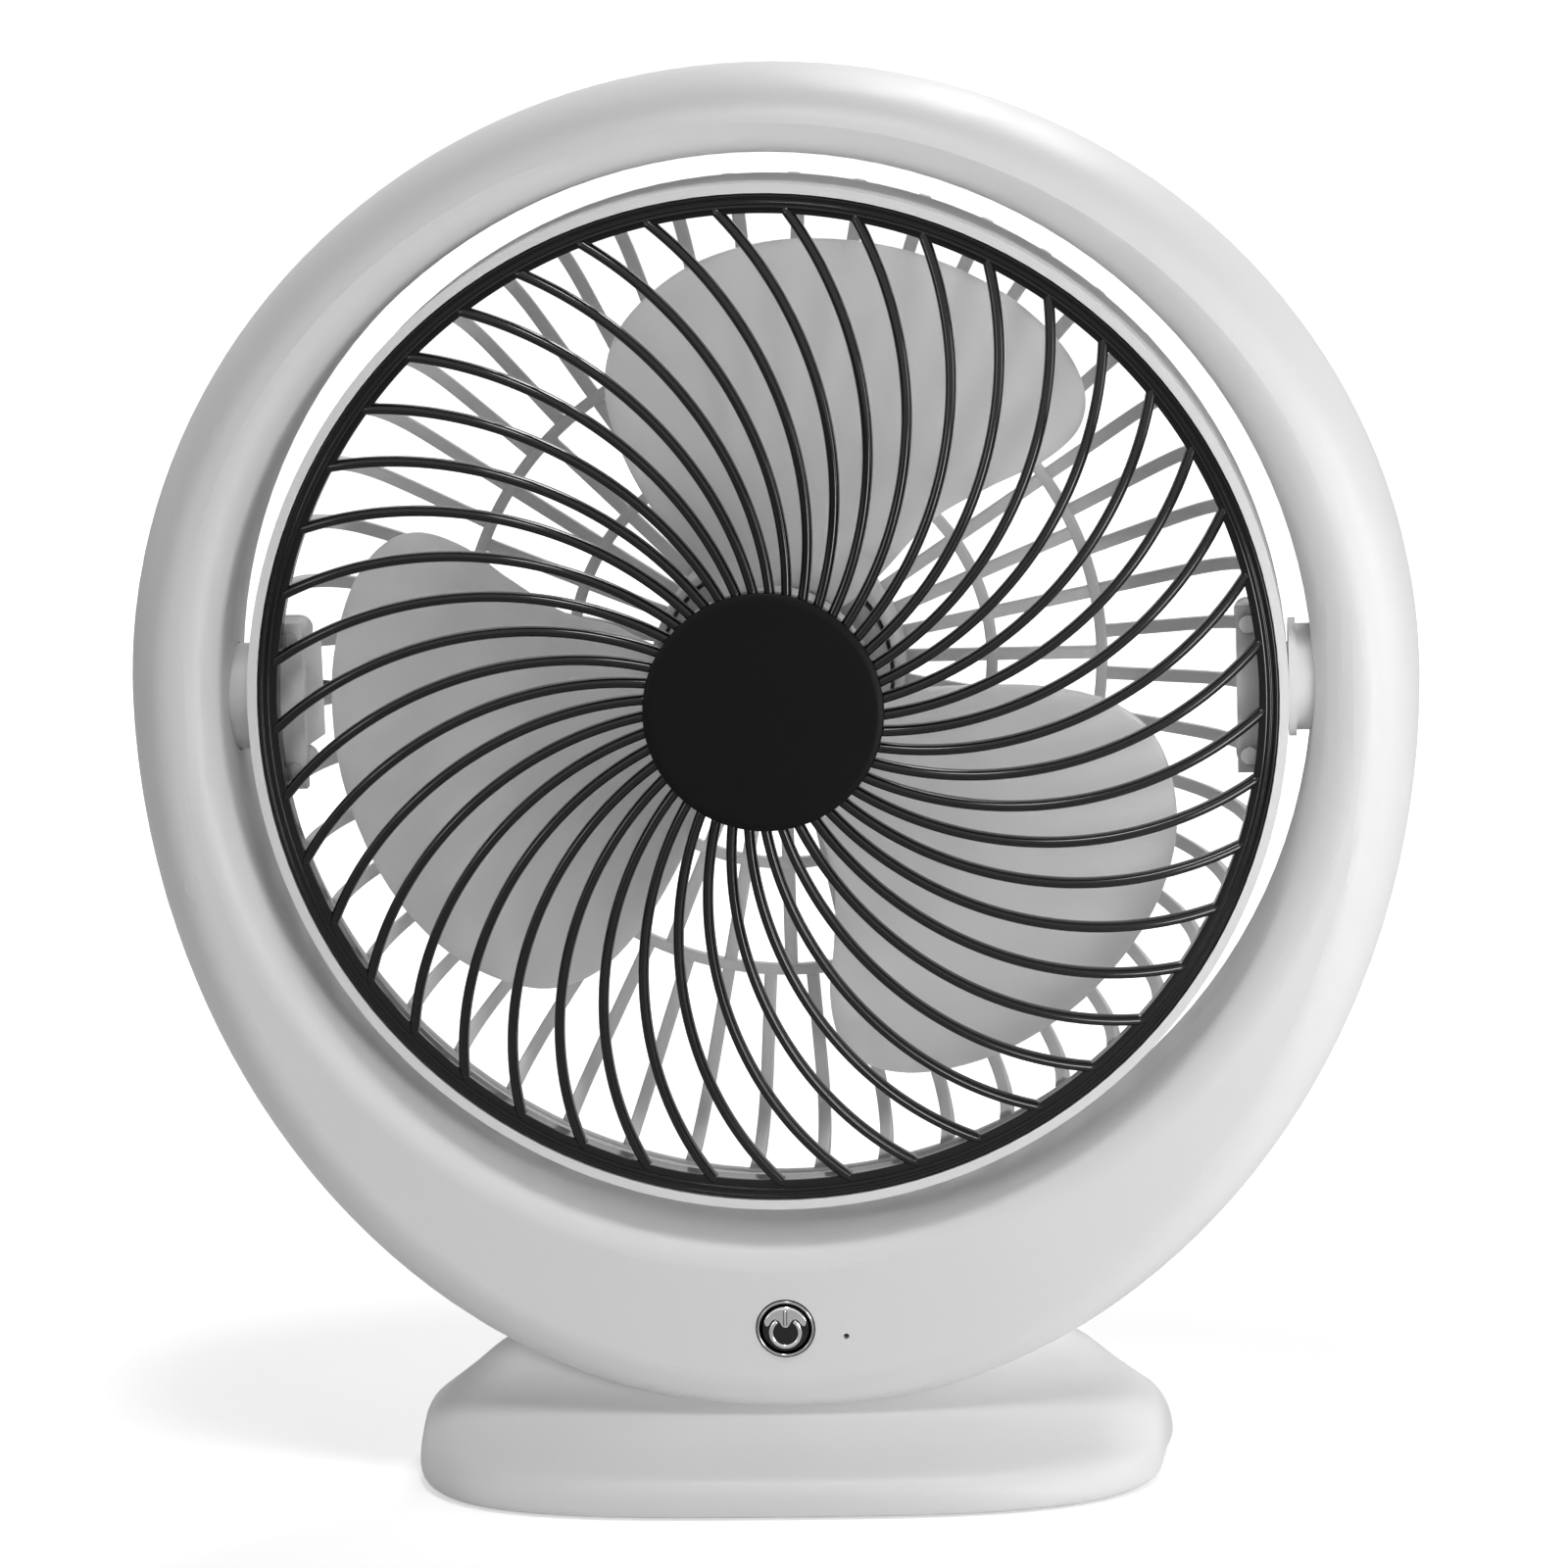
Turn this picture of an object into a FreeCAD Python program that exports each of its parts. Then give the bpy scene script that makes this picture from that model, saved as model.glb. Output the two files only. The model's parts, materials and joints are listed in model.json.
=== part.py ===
# Rechargeable table fan: an egg-shaped hollow ring on a low boat-shaped base, a round
# fan head that tilts in the ring between two side pivots, and a three-blade impeller.
# Millimetres. +Z is up, the fan blows towards -Y, X runs along the tilt axis.
# The origin is on the table, under the middle of the base.
import FreeCAD
import Part
import math
import os

# Tilt axis
pivot_height = 163.8

# Ring body: outline at its widest, depth each side of the seam, rounding to each face, and its walls
ring_half_width = 131.2
ring_rise = 125.8
ring_drop = 152.1
ring_half_depth = 20.0
ring_widest_front = 6.5
ring_widest_back = 9.0
ring_front_round = 12.0
ring_back_round = 9.0
hole_radius = 109.5
hole_roll = 9.0
hole_roll_depth = 12.0
wall = 2.2
edge_power = 2.2
edge_round_shares = [0.0, 0.16, 0.34, 0.52, 0.70, 0.86, 1.0]

# Base: footprints from the floor of the housing up to the crest inside the ring
base_half_width = 77.8
base_half_depth = 42.2
base_crest = 33.0
base_floor = 0.5
base_floor_power = 3.3
base_rim_power = 2.5
base_rim_share = 0.285
base_level_shares = [
    (0.00, 0.956, 0.967),
    (0.045, 0.992, 0.990),
    (0.13, 1.000, 1.000),
    (0.225, 0.996, 0.981),
    (0.285, 0.992, 0.858),
    (0.36, 0.982, 0.616),
    (0.46, 0.954, 0.391),
    (0.57, 0.897, 0.242),
    (0.70, 0.828, 0.180),
    (0.84, 0.743, 0.161),
    (1.00, 0.600, 0.142),
]

# Clearances
part_gap = 0.3
running_gap = 0.05
sliding_gap = 0.3
overrun = 1.0

# Base plate and feet
plate_thickness = 2.4
foot_radius = 6.5
foot_height = 2.0
foot_recess = 1.0
foot_spread_x_share = 0.70
foot_spread_y_share = 0.50
base_screw_spread_x = 64.0
base_screw_spread_y = 8.0
base_boss_radius = 3.4

# Screws
screw_radius = 1.3
screw_head_radius = 2.5
screw_head_height = 1.8
pilot_gap = 0.02
shank_gap = 0.3
housing_screw_length = 16.0
housing_screw_seat = 8.0
housing_boss_radius = 3.6
housing_screw_angles = [28.0, 90.0, 152.0, 197.0, 343.0, 222.0, 318.0]
base_screw_length = 8.0
small_screw_radius = 1.0
small_screw_head_radius = 1.8
small_screw_head_height = 1.2
small_screw_length = 7.0

# Fan head: front band, black front grille and its blank cap
head_radius = 104.5
band_wall = 2.2
band_front = 20.6
band_rebate_radius = 102.6
band_ledge_radius = 100.0
band_ledge_depth = 1.5
grille_radius = 102.3
grille_ring_inner = 98.5
grille_ring_front = 19.9
grille_ring_depth = 4.4
grille_line_height = 0.4
grille_line_width = 0.7
grille_rib_count = 45
grille_rib_width = 1.9
grille_rib_depth = 3.6
grille_rib_land = 1.8
grille_sweep_deg = 32.3
grille_sweep_bend_share = 0.038
grille_phase_deg = 5.36
grille_hub_radius = 24.1
grille_hub_front = 28.8
grille_hub_depth = 3.4
grille_dome_share = 0.84
grille_dome_power = 4
hub_cap_thickness = 0.9

# Rear grille: rim, basket, two rings, ribs and the motor cup
rear_rim_depth = 3.0
rear_depth = 33.0
rear_wall = 2.2
rear_rim_inset = 0.7
rear_corner_radial = 19.0
rear_ring_a_radius = 43.7
rear_ring_b_radius = 66.5
rear_ring_width = 2.4
rear_rib_width = 2.7
rear_outer_rib_count = 48
rear_inner_rib_count = 32
motor_cup_radius = 26.0
motor_cup_wall = 1.6
motor_cup_front = 12.0
ear_radius = 2.7
pivot_pad_radius = 10.5

# Motor
motor_radius = 17.2
motor_wall = 1.2
motor_cap_thickness = 3.0
bearing_radius = 4.5
bearing_length = 4.0
shaft_radius = 1.5
rotor_radius = 11.0
magnet_thickness = 3.2
motor_plate_radius = 23.6
motor_plate_thickness = 2.0
motor_screw_circle = 6.6
motor_screw_count = 2
plate_screw_circle = 20.8
plate_screw_count = 3

# Impeller
impeller_hub_radius = 20.5
impeller_hub_front = 20.0
impeller_hub_depth = 22.0
impeller_hub_wall = 1.8
impeller_boss_radius = 4.0
blade_count = 3
blade_tip_radius = 90.8
blade_thickness = 1.6
blade_front = 8.0
blade_sweep_depth = 25.0
blade_span_deg = 84.0
blade_start_deg = 39.0
blade_outline_shares = [
    (0.16, 0.12), (0.34, 0.040), (0.50, 0.050), (0.64, 0.010), (0.77, -0.022), (0.88, -0.014),
    (0.95, 0.035), (0.99, 0.12), (1.010, 0.24), (1.014, 0.38), (1.005, 0.52), (0.985, 0.64),
    (0.945, 0.75), (0.87, 0.86), (0.76, 0.93), (0.60, 0.968), (0.40, 0.975), (0.16, 0.92),
]
blade_station_shares = [0.07, 0.22, 0.42, 0.62, 0.82, 1.03]
blade_reach_share = 0.78
blade_motor_gap = 2.0
collar_nut_radius = 3.2
collar_nut_length = 3.0

# Tilt pivots
trunnion_radius = 10.8
trunnion_bore = 3.6
trunnion_flange_radius = 12.0
trunnion_flange = 1.5
trunnion_inner_flange_radius = 8.6
trunnion_inner_flange = 2.0
trunnion_collar_radius = 12.8
trunnion_collar = 2.0
bush_wall = 2.4
bush_length = 5.2
bush_split = 0.4
washer_thickness = 1.0
saddle_thickness = 2.2
saddle_half_height = 19.0
stop_lug = 2.2
stop_lug_width = 3.0
stop_block = 3.0
right_bracket_front_depth = 3.0
right_bracket_back_depth = 6.5
left_bracket_front_depth = 5.2
left_bracket_back_depth = 8.6
bracket_half_height = 10.4
bracket_half_depth = 11.0
bracket_wall = 1.4
bracket_ear_height = 6.6
bracket_ear_thickness = 3.4
bracket_front = 13.3
bracket_screw_rise = 13.4
bracket_screw_inset = 4.9
bracket_boss_radius = 2.7
bracket_screw_margin = 0.6
bracket_hole_radius = 3.8
bracket_hole_forward = 4.5
bracket_hole_drop = 1.2

# Power button, its bezel, switch and lamp
button_height = 34.0
bezel_radius = 6.1
bezel_width = 0.9
bezel_lip = 1.1
bezel_proud = 0.5
bezel_depth = 2.4
bezel_sleeve = 0.6
button_radius = 4.9
button_proud = 0.3
button_thickness = 3.8
button_flange = 0.9
button_flange_thickness = 0.8
button_travel = 1.0
button_stem_radius = 1.6
button_stem = 2.0
mark_radius = 2.5
mark_width = 0.55
mark_relief = 0.25
mark_gap_deg = 70.0
lamp_x = 12.4
lamp_drop = 1.8
lamp_hole_radius = 0.6
lamp_radius = 1.5
switch_size = 6.2
switch_body = 3.6
switch_plunger_radius = 1.7
switch_plunger = 0.8

# Boards, cells and charging socket
board_half_width = 18.0
board_half_height = 11.5
board_centre_x = 2.0
board_thickness = 1.6
board_post_radius = 2.6
board_post_inset = 3.4
chip_size = 6.0
chip_spread = 6.5
chip_thickness = 1.4
cell_radius = 9.15
cell_length = 65.0
cell_centre_x = 56.0
cell_centre_z = 48.5
cell_centre_y = 3.6
cell_tilt_deg = 30.0
cell_tip_radius = 3.0
cell_tip = 1.2
cradle_wall = 1.6
cradle_gap = 0.3
cradle_reach_share = 0.35
strap_width = 9.0
strap_thickness = 0.8
port_height = 29.0
port_width = 9.0
port_thickness = 3.2
port_length = 7.4
port_recess = 0.6
port_shell = 0.35
port_tongue = 0.8
charge_board_half_width = 9.0
charge_board_length = 15.0
charge_rail_width = 2.4
charge_rail_drop = 3.0

# Leads
lead_radius = 1.0
lead_gap = 0.35
lead_bend_share = 0.45


def vec(x, y, z):
    return FreeCAD.Vector(x, y, z)


axis_x = vec(1, 0, 0)
axis_y = vec(0, 1, 0)
axis_z = vec(0, 0, 1)
head_centre = vec(0, 0, pivot_height)


def block(x0, x1, y0, y1, z0, z1):
    """Box between two corners."""
    return Part.makeBox(x1 - x0, y1 - y0, z1 - z0, vec(x0, y0, z0))


def rod_x(radius, x0, x1, y=0, z=0):
    return Part.makeCylinder(radius, x1 - x0, vec(x0, y, z), axis_x)


def rod_y(radius, y0, y1, x=0, z=0):
    return Part.makeCylinder(radius, y1 - y0, vec(x, y0, z), axis_y)


def rod_z(radius, z0, z1, x=0, y=0):
    return Part.makeCylinder(radius, z1 - z0, vec(x, y, z0), axis_z)


def turned(points):
    """Solid of revolution about the Y axis from (radius, y) points."""
    corners = [vec(r, y, 0) for r, y in points]
    face = Part.Face(Part.makePolygon(corners + corners[:1]))
    return face.revolve(vec(0, 0, 0), axis_y, 360)


def turned_edges(edges):
    """Solid of revolution about the Y axis from edges drawn in the XY plane."""
    face = Part.Face(Part.Wire(edges))
    return face.revolve(vec(0, 0, 0), axis_y, 360)


def tube_y(outer, inner, y0, y1):
    return turned([(inner, y0), (outer, y0), (outer, y1), (inner, y1)])


def line(a, b):
    return Part.LineSegment(a, b).toShape()


def quarter(centre_r, centre_y, radial, axial, from_deg, to_deg):
    """Part of an ellipse in the XY plane, as one edge through its middle points."""
    steps = 4
    points = []
    for step in range(steps + 1):
        angle = math.radians(from_deg + (to_deg - from_deg) * step / steps)
        points.append(vec(centre_r + radial * math.cos(angle), centre_y + axial * math.sin(angle), 0))
    curve = Part.BSplineCurve()
    curve.interpolate(points)
    return curve.toShape(), points[0], points[-1]


def joined(shapes):
    """Fuse a list of solids into one."""
    return shapes[0].fuse(shapes[1:]).removeSplitter() if len(shapes) > 1 else shapes[0]


def at_head(shape):
    """Lift a shape drawn about the head's own centre to the tilt axis."""
    return shape.translated(head_centre)


def turned_about_y(shape, degrees):
    copy = shape.copy()
    copy.rotate(vec(0, 0, 0), axis_y, -degrees)
    return copy


def mirrored_x(shape):
    return shape.mirror(vec(0, 0, 0), axis_x)


def polar(radius, degrees, y=0):
    """Point at an angle from +X towards +Z about the head's axis."""
    angle = math.radians(degrees)
    return vec(radius * math.cos(angle), y, radius * math.sin(angle))


def screw_y(radius, head_radius_value, head_height, length, x, z, seat_y, way):
    """Screw along Y: its head's underside is on seat_y and its shank runs the given way."""
    shank = rod_y(radius, min(seat_y, seat_y + way * length), max(seat_y, seat_y + way * length), x, z)
    head = rod_y(head_radius_value, min(seat_y, seat_y - way * head_height),
                 max(seat_y, seat_y - way * head_height), x, z)
    slot = block(x - radius * slot_share, x + radius * slot_share,
                 min(seat_y - way * head_height * half, seat_y - way * head_height * twice),
                 max(seat_y - way * head_height * half, seat_y - way * head_height * twice),
                 z - head_radius_value, z + head_radius_value)
    return head.fuse(shank).cut(slot).removeSplitter()


half = 0.5
twice = 2.0
slot_share = 0.28


# Ring outline
def egg_radius(degrees):
    """Distance from the tilt axis to the outline at the seam."""
    angle = math.radians(degrees)
    tall = ring_rise if math.sin(angle) >= 0 else ring_drop
    return 1 / math.sqrt((math.cos(angle) / ring_half_width) ** 2 + (math.sin(angle) / tall) ** 2)


def half_ellipse(half_width, tall, y, up):
    """Half of an ellipse about the tilt axis, from one side over the top, or under the bottom, to the other."""
    unit_circle = Part.Circle(vec(0, 0, 0), axis_z, 1)
    curve = Part.ArcOfCircle(unit_circle, 0, math.pi).toBSpline()
    for index, pole in enumerate(curve.getPoles()):
        curve.setPole(index + 1, vec(pole.x * half_width, y, pivot_height + up * pole.y * tall))
    return curve


def egg_wire(inset, y):
    """Closed outline of the ring body, moved inwards by inset."""
    upper = half_ellipse(ring_half_width - inset, ring_rise - inset, y, 1)
    lower = half_ellipse(ring_half_width - inset, ring_drop - inset, y, -1)
    return Part.Wire(Part.__sortEdges__([upper.toShape(), lower.toShape()]))


def rounded(side, offset, angle):
    """Outline of the ring body at one angle round its rounding, from its widest plane to a face."""
    widest = ring_widest_front if side < 0 else ring_widest_back
    span = ring_half_depth - side * widest - offset
    size = ring_front_round if side < 0 else ring_back_round
    inset = size * (1 - math.cos(angle) ** (2 / edge_power))
    return egg_wire(inset + offset, widest + side * span * math.sin(angle) ** (2 / edge_power))


def egg_half(side, offset):
    """Half of the egg-shaped body on one side of the seam, its edge rounded to a flat face."""
    span = ring_half_depth + ring_widest_front - offset
    seam_angle = math.asin((ring_widest_front / span) ** (edge_power / 2))
    if side < 0:
        wires = [rounded(side, offset, seam_angle + share * (math.pi / 2 - seam_angle))
                 for share in edge_round_shares]
    else:
        wires = [rounded(-side, offset, seam_angle), rounded(-side, offset, seam_angle * half),
                 rounded(-side, offset, 0)]
        wires += [rounded(side, offset, share * math.pi / 2) for share in edge_round_shares]
    return Part.makeLoft(wires, True, False)


def hole_cutter(side, offset):
    """Round hole of the ring, flaring out in a rolled edge towards the front or back face."""
    straight = ring_half_depth - hole_roll_depth
    far = ring_half_depth + overrun
    radius = hole_radius + offset
    arc, low, high = quarter(hole_radius + hole_roll, side * straight, hole_roll - offset,
                             side * (hole_roll_depth - offset), 180, 90)
    edges = [
        line(vec(0, -side * overrun, 0), vec(radius, -side * overrun, 0)),
        line(vec(radius, -side * overrun, 0), low),
        arc,
        line(high, vec(high.x, side * far, 0)),
        line(vec(high.x, side * far, 0), vec(0, side * far, 0)),
        line(vec(0, side * far, 0), vec(0, -side * overrun, 0)),
    ]
    return at_head(turned_edges(edges))


def corner_power(height_share):
    """Squareness of the base's corners: fullest at the floor, softer from the rim upwards."""
    return base_floor_power + (base_rim_power - base_floor_power) * min(1, height_share / base_rim_share)


def footprint(half_width, half_depth, z, power):
    """Closed super-ellipse outline of the base at one height."""
    count = 20
    points = []
    for step in range(count):
        angle = 2 * math.pi * step / count
        c = math.cos(angle)
        s = math.sin(angle)
        points.append(vec(math.copysign(half_width * abs(c) ** (2 / power), c),
                          math.copysign(half_depth * abs(s) ** (2 / power), s), z))
    curve = Part.BSplineCurve()
    curve.interpolate(Points=points, PeriodicFlag=True)
    return Part.Wire([curve.toShape()])


def base_body(offset):
    """Boat-shaped base; an offset draws the hollow inside its wall."""
    wires = []
    for height_share, width_share, depth_share in base_level_shares:
        z = base_floor + height_share * (base_crest - base_floor - offset)
        wires.append(footprint(base_half_width * width_share - offset,
                               base_half_depth * depth_share - offset, z, corner_power(height_share)))
    return Part.makeLoft(wires, True, False)


def half_space(side):
    """Everything on one side of the seam."""
    reach = ring_half_width + overrun
    near = min(0, side * (base_half_depth + overrun))
    far = max(0, side * (base_half_depth + overrun))
    return block(-reach, reach, near, far, -overrun, pivot_height + ring_rise + overrun)


def housing_void(side):
    """Hollow inside one half, open at the seam and at the bottom."""
    ring = egg_half(side, wall).cut(hole_cutter(side, wall))
    bottom_open = footprint(base_half_width * base_level_shares[0][1] - wall,
                            base_half_depth * base_level_shares[0][2] - wall, 0, base_floor_power)
    well = Part.Face(bottom_open).extrude(vec(0, 0, base_floor + overrun))
    base = base_body(wall).fuse(well).common(half_space(side))
    return ring.fuse(base)


def housing_screw_points():
    """Screw places along the middle of the ring's width."""
    points = []
    for degrees in housing_screw_angles:
        radius = (hole_radius + egg_radius(degrees)) * half
        points.append(polar(radius, degrees).add(head_centre))
    return points


pivot_wall_x = hole_radius
bush_start = pivot_wall_x + wall + part_gap
bush_end = bush_start + bush_length
washer_end = bush_end + washer_thickness + part_gap
collar_start = washer_end + part_gap
collar_end = collar_start + trunnion_collar
bush_outer = trunnion_radius + running_gap + bush_wall


def pivot_saddles(side):
    """Ribs in both shell halves that clasp the pivot bushes, for both ends of the axis."""
    far = ring_half_depth
    near_y = min(0, side * far)
    far_y = max(0, side * far)
    saddle_end = bush_start + saddle_thickness
    rib = block(bush_start, saddle_end, near_y, far_y,
                pivot_height - saddle_half_height, pivot_height + saddle_half_height)
    second = rib.translated(vec(bush_length - saddle_thickness, 0, 0))
    shapes = [rib, second]
    return shapes + [mirrored_x(shape) for shape in shapes]


def tilt_stop(side):
    """Block beside the right-hand pivot that the lug on the pivot's collar meets after a quarter turn."""
    reach = trunnion_collar_radius + stop_lug
    near_y = min(side * (trunnion_collar_radius + part_gap), side * (reach + overrun))
    far_y = max(side * (trunnion_collar_radius + part_gap), side * (reach + overrun))
    top = pivot_height - stop_lug_width * half - part_gap
    return block(bush_end - saddle_thickness * half, collar_end, near_y, far_y, top - stop_block, top)


def base_boss_places():
    return [(sx * base_screw_spread_x, sy * base_screw_spread_y) for sx in (1, -1) for sy in (1, -1)]


def board_places():
    """Two screw places of the control board, at opposite corners."""
    dx = board_half_width - board_post_inset
    dz = board_half_height - board_post_inset
    return [(board_centre_x - dx, button_height + dz), (board_centre_x + dx, button_height - dz)]


switch_back = -(ring_half_depth - button_thickness + button_proud - button_stem - button_travel
                - part_gap - switch_plunger - switch_body)
board_front = switch_back
board_back = board_front + board_thickness


def housing_shell(side, ring_bosses, base_bosses, cutters):
    """One half of the casing: outer form, hollowed, with its bosses trimmed to the wall."""
    egg = egg_half(side, 0)
    outer = egg.fuse(base_body(0).common(half_space(side)))
    hole = hole_cutter(side, 0)
    shell = outer.cut(hole).cut(housing_void(side))
    inside = Part.makeCompound(ring_bosses).common(egg).cut(hole).Solids
    inside += Part.makeCompound(base_bosses).common(outer).Solids
    return shell.fuse(inside).cut(cutters)


def pivot_bores():
    """Seats for the bushes and clear holes for the trunnions, across both sides."""
    wall_hole = rod_x(trunnion_radius + part_gap, pivot_wall_x - wall, collar_end, 0, pivot_height)
    seat = rod_x(bush_outer + running_gap, bush_start - running_gap, collar_end + overrun, 0, pivot_height)
    room = rod_x(trunnion_collar_radius + stop_lug + part_gap, bush_end + running_gap,
                 collar_end + part_gap, 0, pivot_height)
    shapes = [wall_hole, seat, room]
    return shapes + [mirrored_x(shape) for shape in shapes]


def front_housing():
    bosses = pivot_saddles(-1)
    base_bosses = []
    cutters = pivot_bores()
    for point in housing_screw_points():
        bosses.append(rod_y(housing_boss_radius, -ring_half_depth, 0, point.x, point.z))
        cutters.append(rod_y(screw_radius + pilot_gap, housing_screw_seat - housing_screw_length - overrun, overrun,
                             point.x, point.z))
    for x, y in base_boss_places():
        if y < 0:
            base_bosses.append(rod_z(base_boss_radius, plate_top, base_crest, x, y))
            cutters.append(rod_z(screw_radius + pilot_gap, 0, plate_bottom + base_screw_length + overrun, x, y))
    for x, z in board_places():
        bosses.append(rod_y(board_post_radius, -ring_half_depth, board_front, x, z))
        cutters.append(rod_y(small_screw_radius + pilot_gap, board_back - small_screw_length - part_gap,
                             board_front + overrun, x, z))
    cutters.append(rod_y(bezel_radius - bezel_width + bezel_sleeve + pilot_gap, -ring_half_depth - overrun,
                         -ring_half_depth + wall + overrun, 0, button_height))
    cutters.append(rod_y(bezel_radius + pilot_gap, -ring_half_depth - overrun,
                         -ring_half_depth + bezel_lip, 0, button_height))
    cutters.append(rod_y(lamp_hole_radius, -ring_half_depth - overrun, -ring_half_depth + wall + overrun,
                         lamp_x, button_height - lamp_drop))
    shell = housing_shell(-1, bosses, base_bosses, cutters)
    return shell.fuse(tilt_stop(-1))


def rear_housing():
    bosses = pivot_saddles(1)
    base_bosses = []
    cutters = pivot_bores()
    for point in housing_screw_points():
        bosses.append(rod_y(housing_boss_radius, 0, ring_half_depth, point.x, point.z))
        cutters.append(rod_y(screw_radius + shank_gap, -overrun, ring_half_depth + overrun, point.x, point.z))
        cutters.append(rod_y(screw_head_radius + shank_gap, housing_screw_seat, ring_half_depth + overrun,
                             point.x, point.z))
    for x, y in base_boss_places():
        if y > 0:
            base_bosses.append(rod_z(base_boss_radius, plate_top, base_crest, x, y))
            cutters.append(rod_z(screw_radius + pilot_gap, 0, plate_bottom + base_screw_length + overrun, x, y))
    rail_x = charge_board_half_width - charge_rail_width
    for sx in (1, -1):
        x0 = min(sx * rail_x, sx * charge_board_half_width)
        x1 = max(sx * rail_x, sx * charge_board_half_width)
        bosses.append(block(x0, x1, charge_board_back - charge_board_length, ring_half_depth,
                            charge_board_low - charge_rail_drop, charge_board_low))
    slot_x = port_width * half - port_thickness * half
    slot = block(-slot_x, slot_x, ring_half_depth - wall - overrun, ring_half_depth + overrun,
                 port_height - port_thickness * half - part_gap, port_height + port_thickness * half + part_gap)
    cutters.append(slot)
    for sx in (1, -1):
        cutters.append(rod_y(port_thickness * half + part_gap, ring_half_depth - wall - overrun,
                             ring_half_depth + overrun, sx * slot_x, port_height))
    shell = housing_shell(1, bosses, base_bosses, cutters)
    return shell.fuse(tilt_stop(1))


plate_bottom = foot_recess
plate_top = plate_bottom + plate_thickness
charge_board_back = ring_half_depth - wall - part_gap
charge_board_low = port_height - port_thickness * half - board_thickness


def plate_outline(inset, z):
    return footprint(base_half_width * base_level_shares[0][1] - wall - inset,
                     base_half_depth * base_level_shares[0][2] - wall - inset, z, base_floor_power)


def foot_places():
    x = base_half_width * foot_spread_x_share
    y = base_half_depth * foot_spread_y_share
    return [(sx * x, sy * y) for sx in (1, -1) for sy in (1, -1)]


def base_plate():
    plate = Part.Face(plate_outline(part_gap, plate_bottom)).extrude(vec(0, 0, plate_thickness))
    for x, y in foot_places():
        plate = plate.cut(rod_z(foot_radius + pilot_gap, 0, foot_height, x, y))
    for x, y in base_boss_places():
        plate = plate.cut(rod_z(screw_radius + shank_gap, 0, plate_top + overrun, x, y))
        plate = plate.cut(rod_z(screw_head_radius + shank_gap, 0, plate_bottom + screw_head_height * half, x, y))
    return plate


def rubber_feet():
    return Part.makeCompound([rod_z(foot_radius, 0, foot_height, x, y) for x, y in foot_places()])


def screw_z(x, y, seat):
    """Base screw, driven upwards, its head under the plate."""
    head = rod_z(screw_head_radius, seat - screw_head_height * half, seat, x, y)
    return head.fuse(rod_z(screw_radius, seat, seat + base_screw_length, x, y)).removeSplitter()


def base_screws():
    seat = plate_bottom + screw_head_height * half
    return Part.makeCompound([screw_z(x, y, seat) for x, y in base_boss_places()])


def housing_screws():
    screws = []
    for point in housing_screw_points():
        screws.append(screw_y(screw_radius, screw_head_radius, screw_head_height, housing_screw_length,
                              point.x, point.z, housing_screw_seat, -1))
    return Part.makeCompound(screws)


# Power button
def button_bezel():
    face = ring_half_depth
    inner = bezel_radius - bezel_width
    ring = turned([(inner, -face - bezel_proud), (bezel_radius, -face - bezel_proud),
                   (bezel_radius, -face + bezel_lip),
                   (inner + bezel_sleeve, -face + bezel_lip), (inner + bezel_sleeve, -face + bezel_depth),
                   (inner, -face + bezel_depth)])
    return ring.translated(vec(0, 0, button_height))


def power_mark(y0, y1):
    """Raised open ring with an upright bar, the usual sign for power."""
    outer = mark_radius + mark_width * half
    ring = tube_y(outer, mark_radius - mark_width * half, y0, y1)
    spread = math.tan(math.radians(mark_gap_deg * half))
    gap = Part.Face(Part.makePolygon([vec(0, y0, 0), vec(outer * twice * spread, y0, outer * twice),
                                      vec(-outer * twice * spread, y0, outer * twice), vec(0, y0, 0)]))
    ring = ring.cut(gap.extrude(vec(0, y1 - y0, 0)))
    bar = block(-mark_width * half, mark_width * half, y0, y1, 0, mark_radius + mark_width)
    return [ring, bar]


def power_button():
    front = -(ring_half_depth + button_proud)
    back = front + button_thickness
    cap = turned([(0, front), (button_radius - button_flange * half, front), (button_radius, front + button_flange * half),
                  (button_radius, back - button_flange_thickness),
                  (button_radius + button_flange, back - button_flange_thickness),
                  (button_radius + button_flange, back), (button_stem_radius, back),
                  (button_stem_radius, back + button_stem), (0, back + button_stem)])
    mark = power_mark(front - mark_relief, front + mark_relief)
    return joined([cap] + mark).translated(vec(0, 0, button_height))


def tact_switch():
    low = button_height - switch_size * half
    body = block(-switch_size * half, switch_size * half, board_front - switch_body, board_front,
                 low, low + switch_size)
    plunger = rod_y(switch_plunger_radius, board_front - switch_body - switch_plunger,
                    board_front - switch_body, 0, button_height)
    return joined([body, plunger])


def indicator_lamp():
    """Small lamp on the board, its domed nose just behind the pinhole."""
    z = button_height - lamp_drop
    nose = -(ring_half_depth - wall) + part_gap + lamp_radius
    body = rod_y(lamp_radius, nose, board_front, lamp_x, z)
    dome = Part.makeSphere(lamp_radius, vec(lamp_x, nose, z))
    return joined([body, dome])


def control_board():
    board = block(board_centre_x - board_half_width, board_centre_x + board_half_width, board_front, board_back,
                  button_height - board_half_height, button_height + board_half_height)
    for x, z in board_places():
        board = board.cut(rod_y(small_screw_radius + shank_gap, board_front - overrun, board_back + overrun, x, z))
    return board


def board_chips():
    """Motor driver and charge controller packages on the back of the control board."""
    chips = []
    for sx in (1, -1):
        x = board_centre_x + sx * chip_spread
        chips.append(block(x - chip_size * half, x + chip_size * half, board_back, board_back + chip_thickness,
                           button_height - chip_size * half, button_height + chip_size * half))
    return Part.makeCompound(chips)


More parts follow.
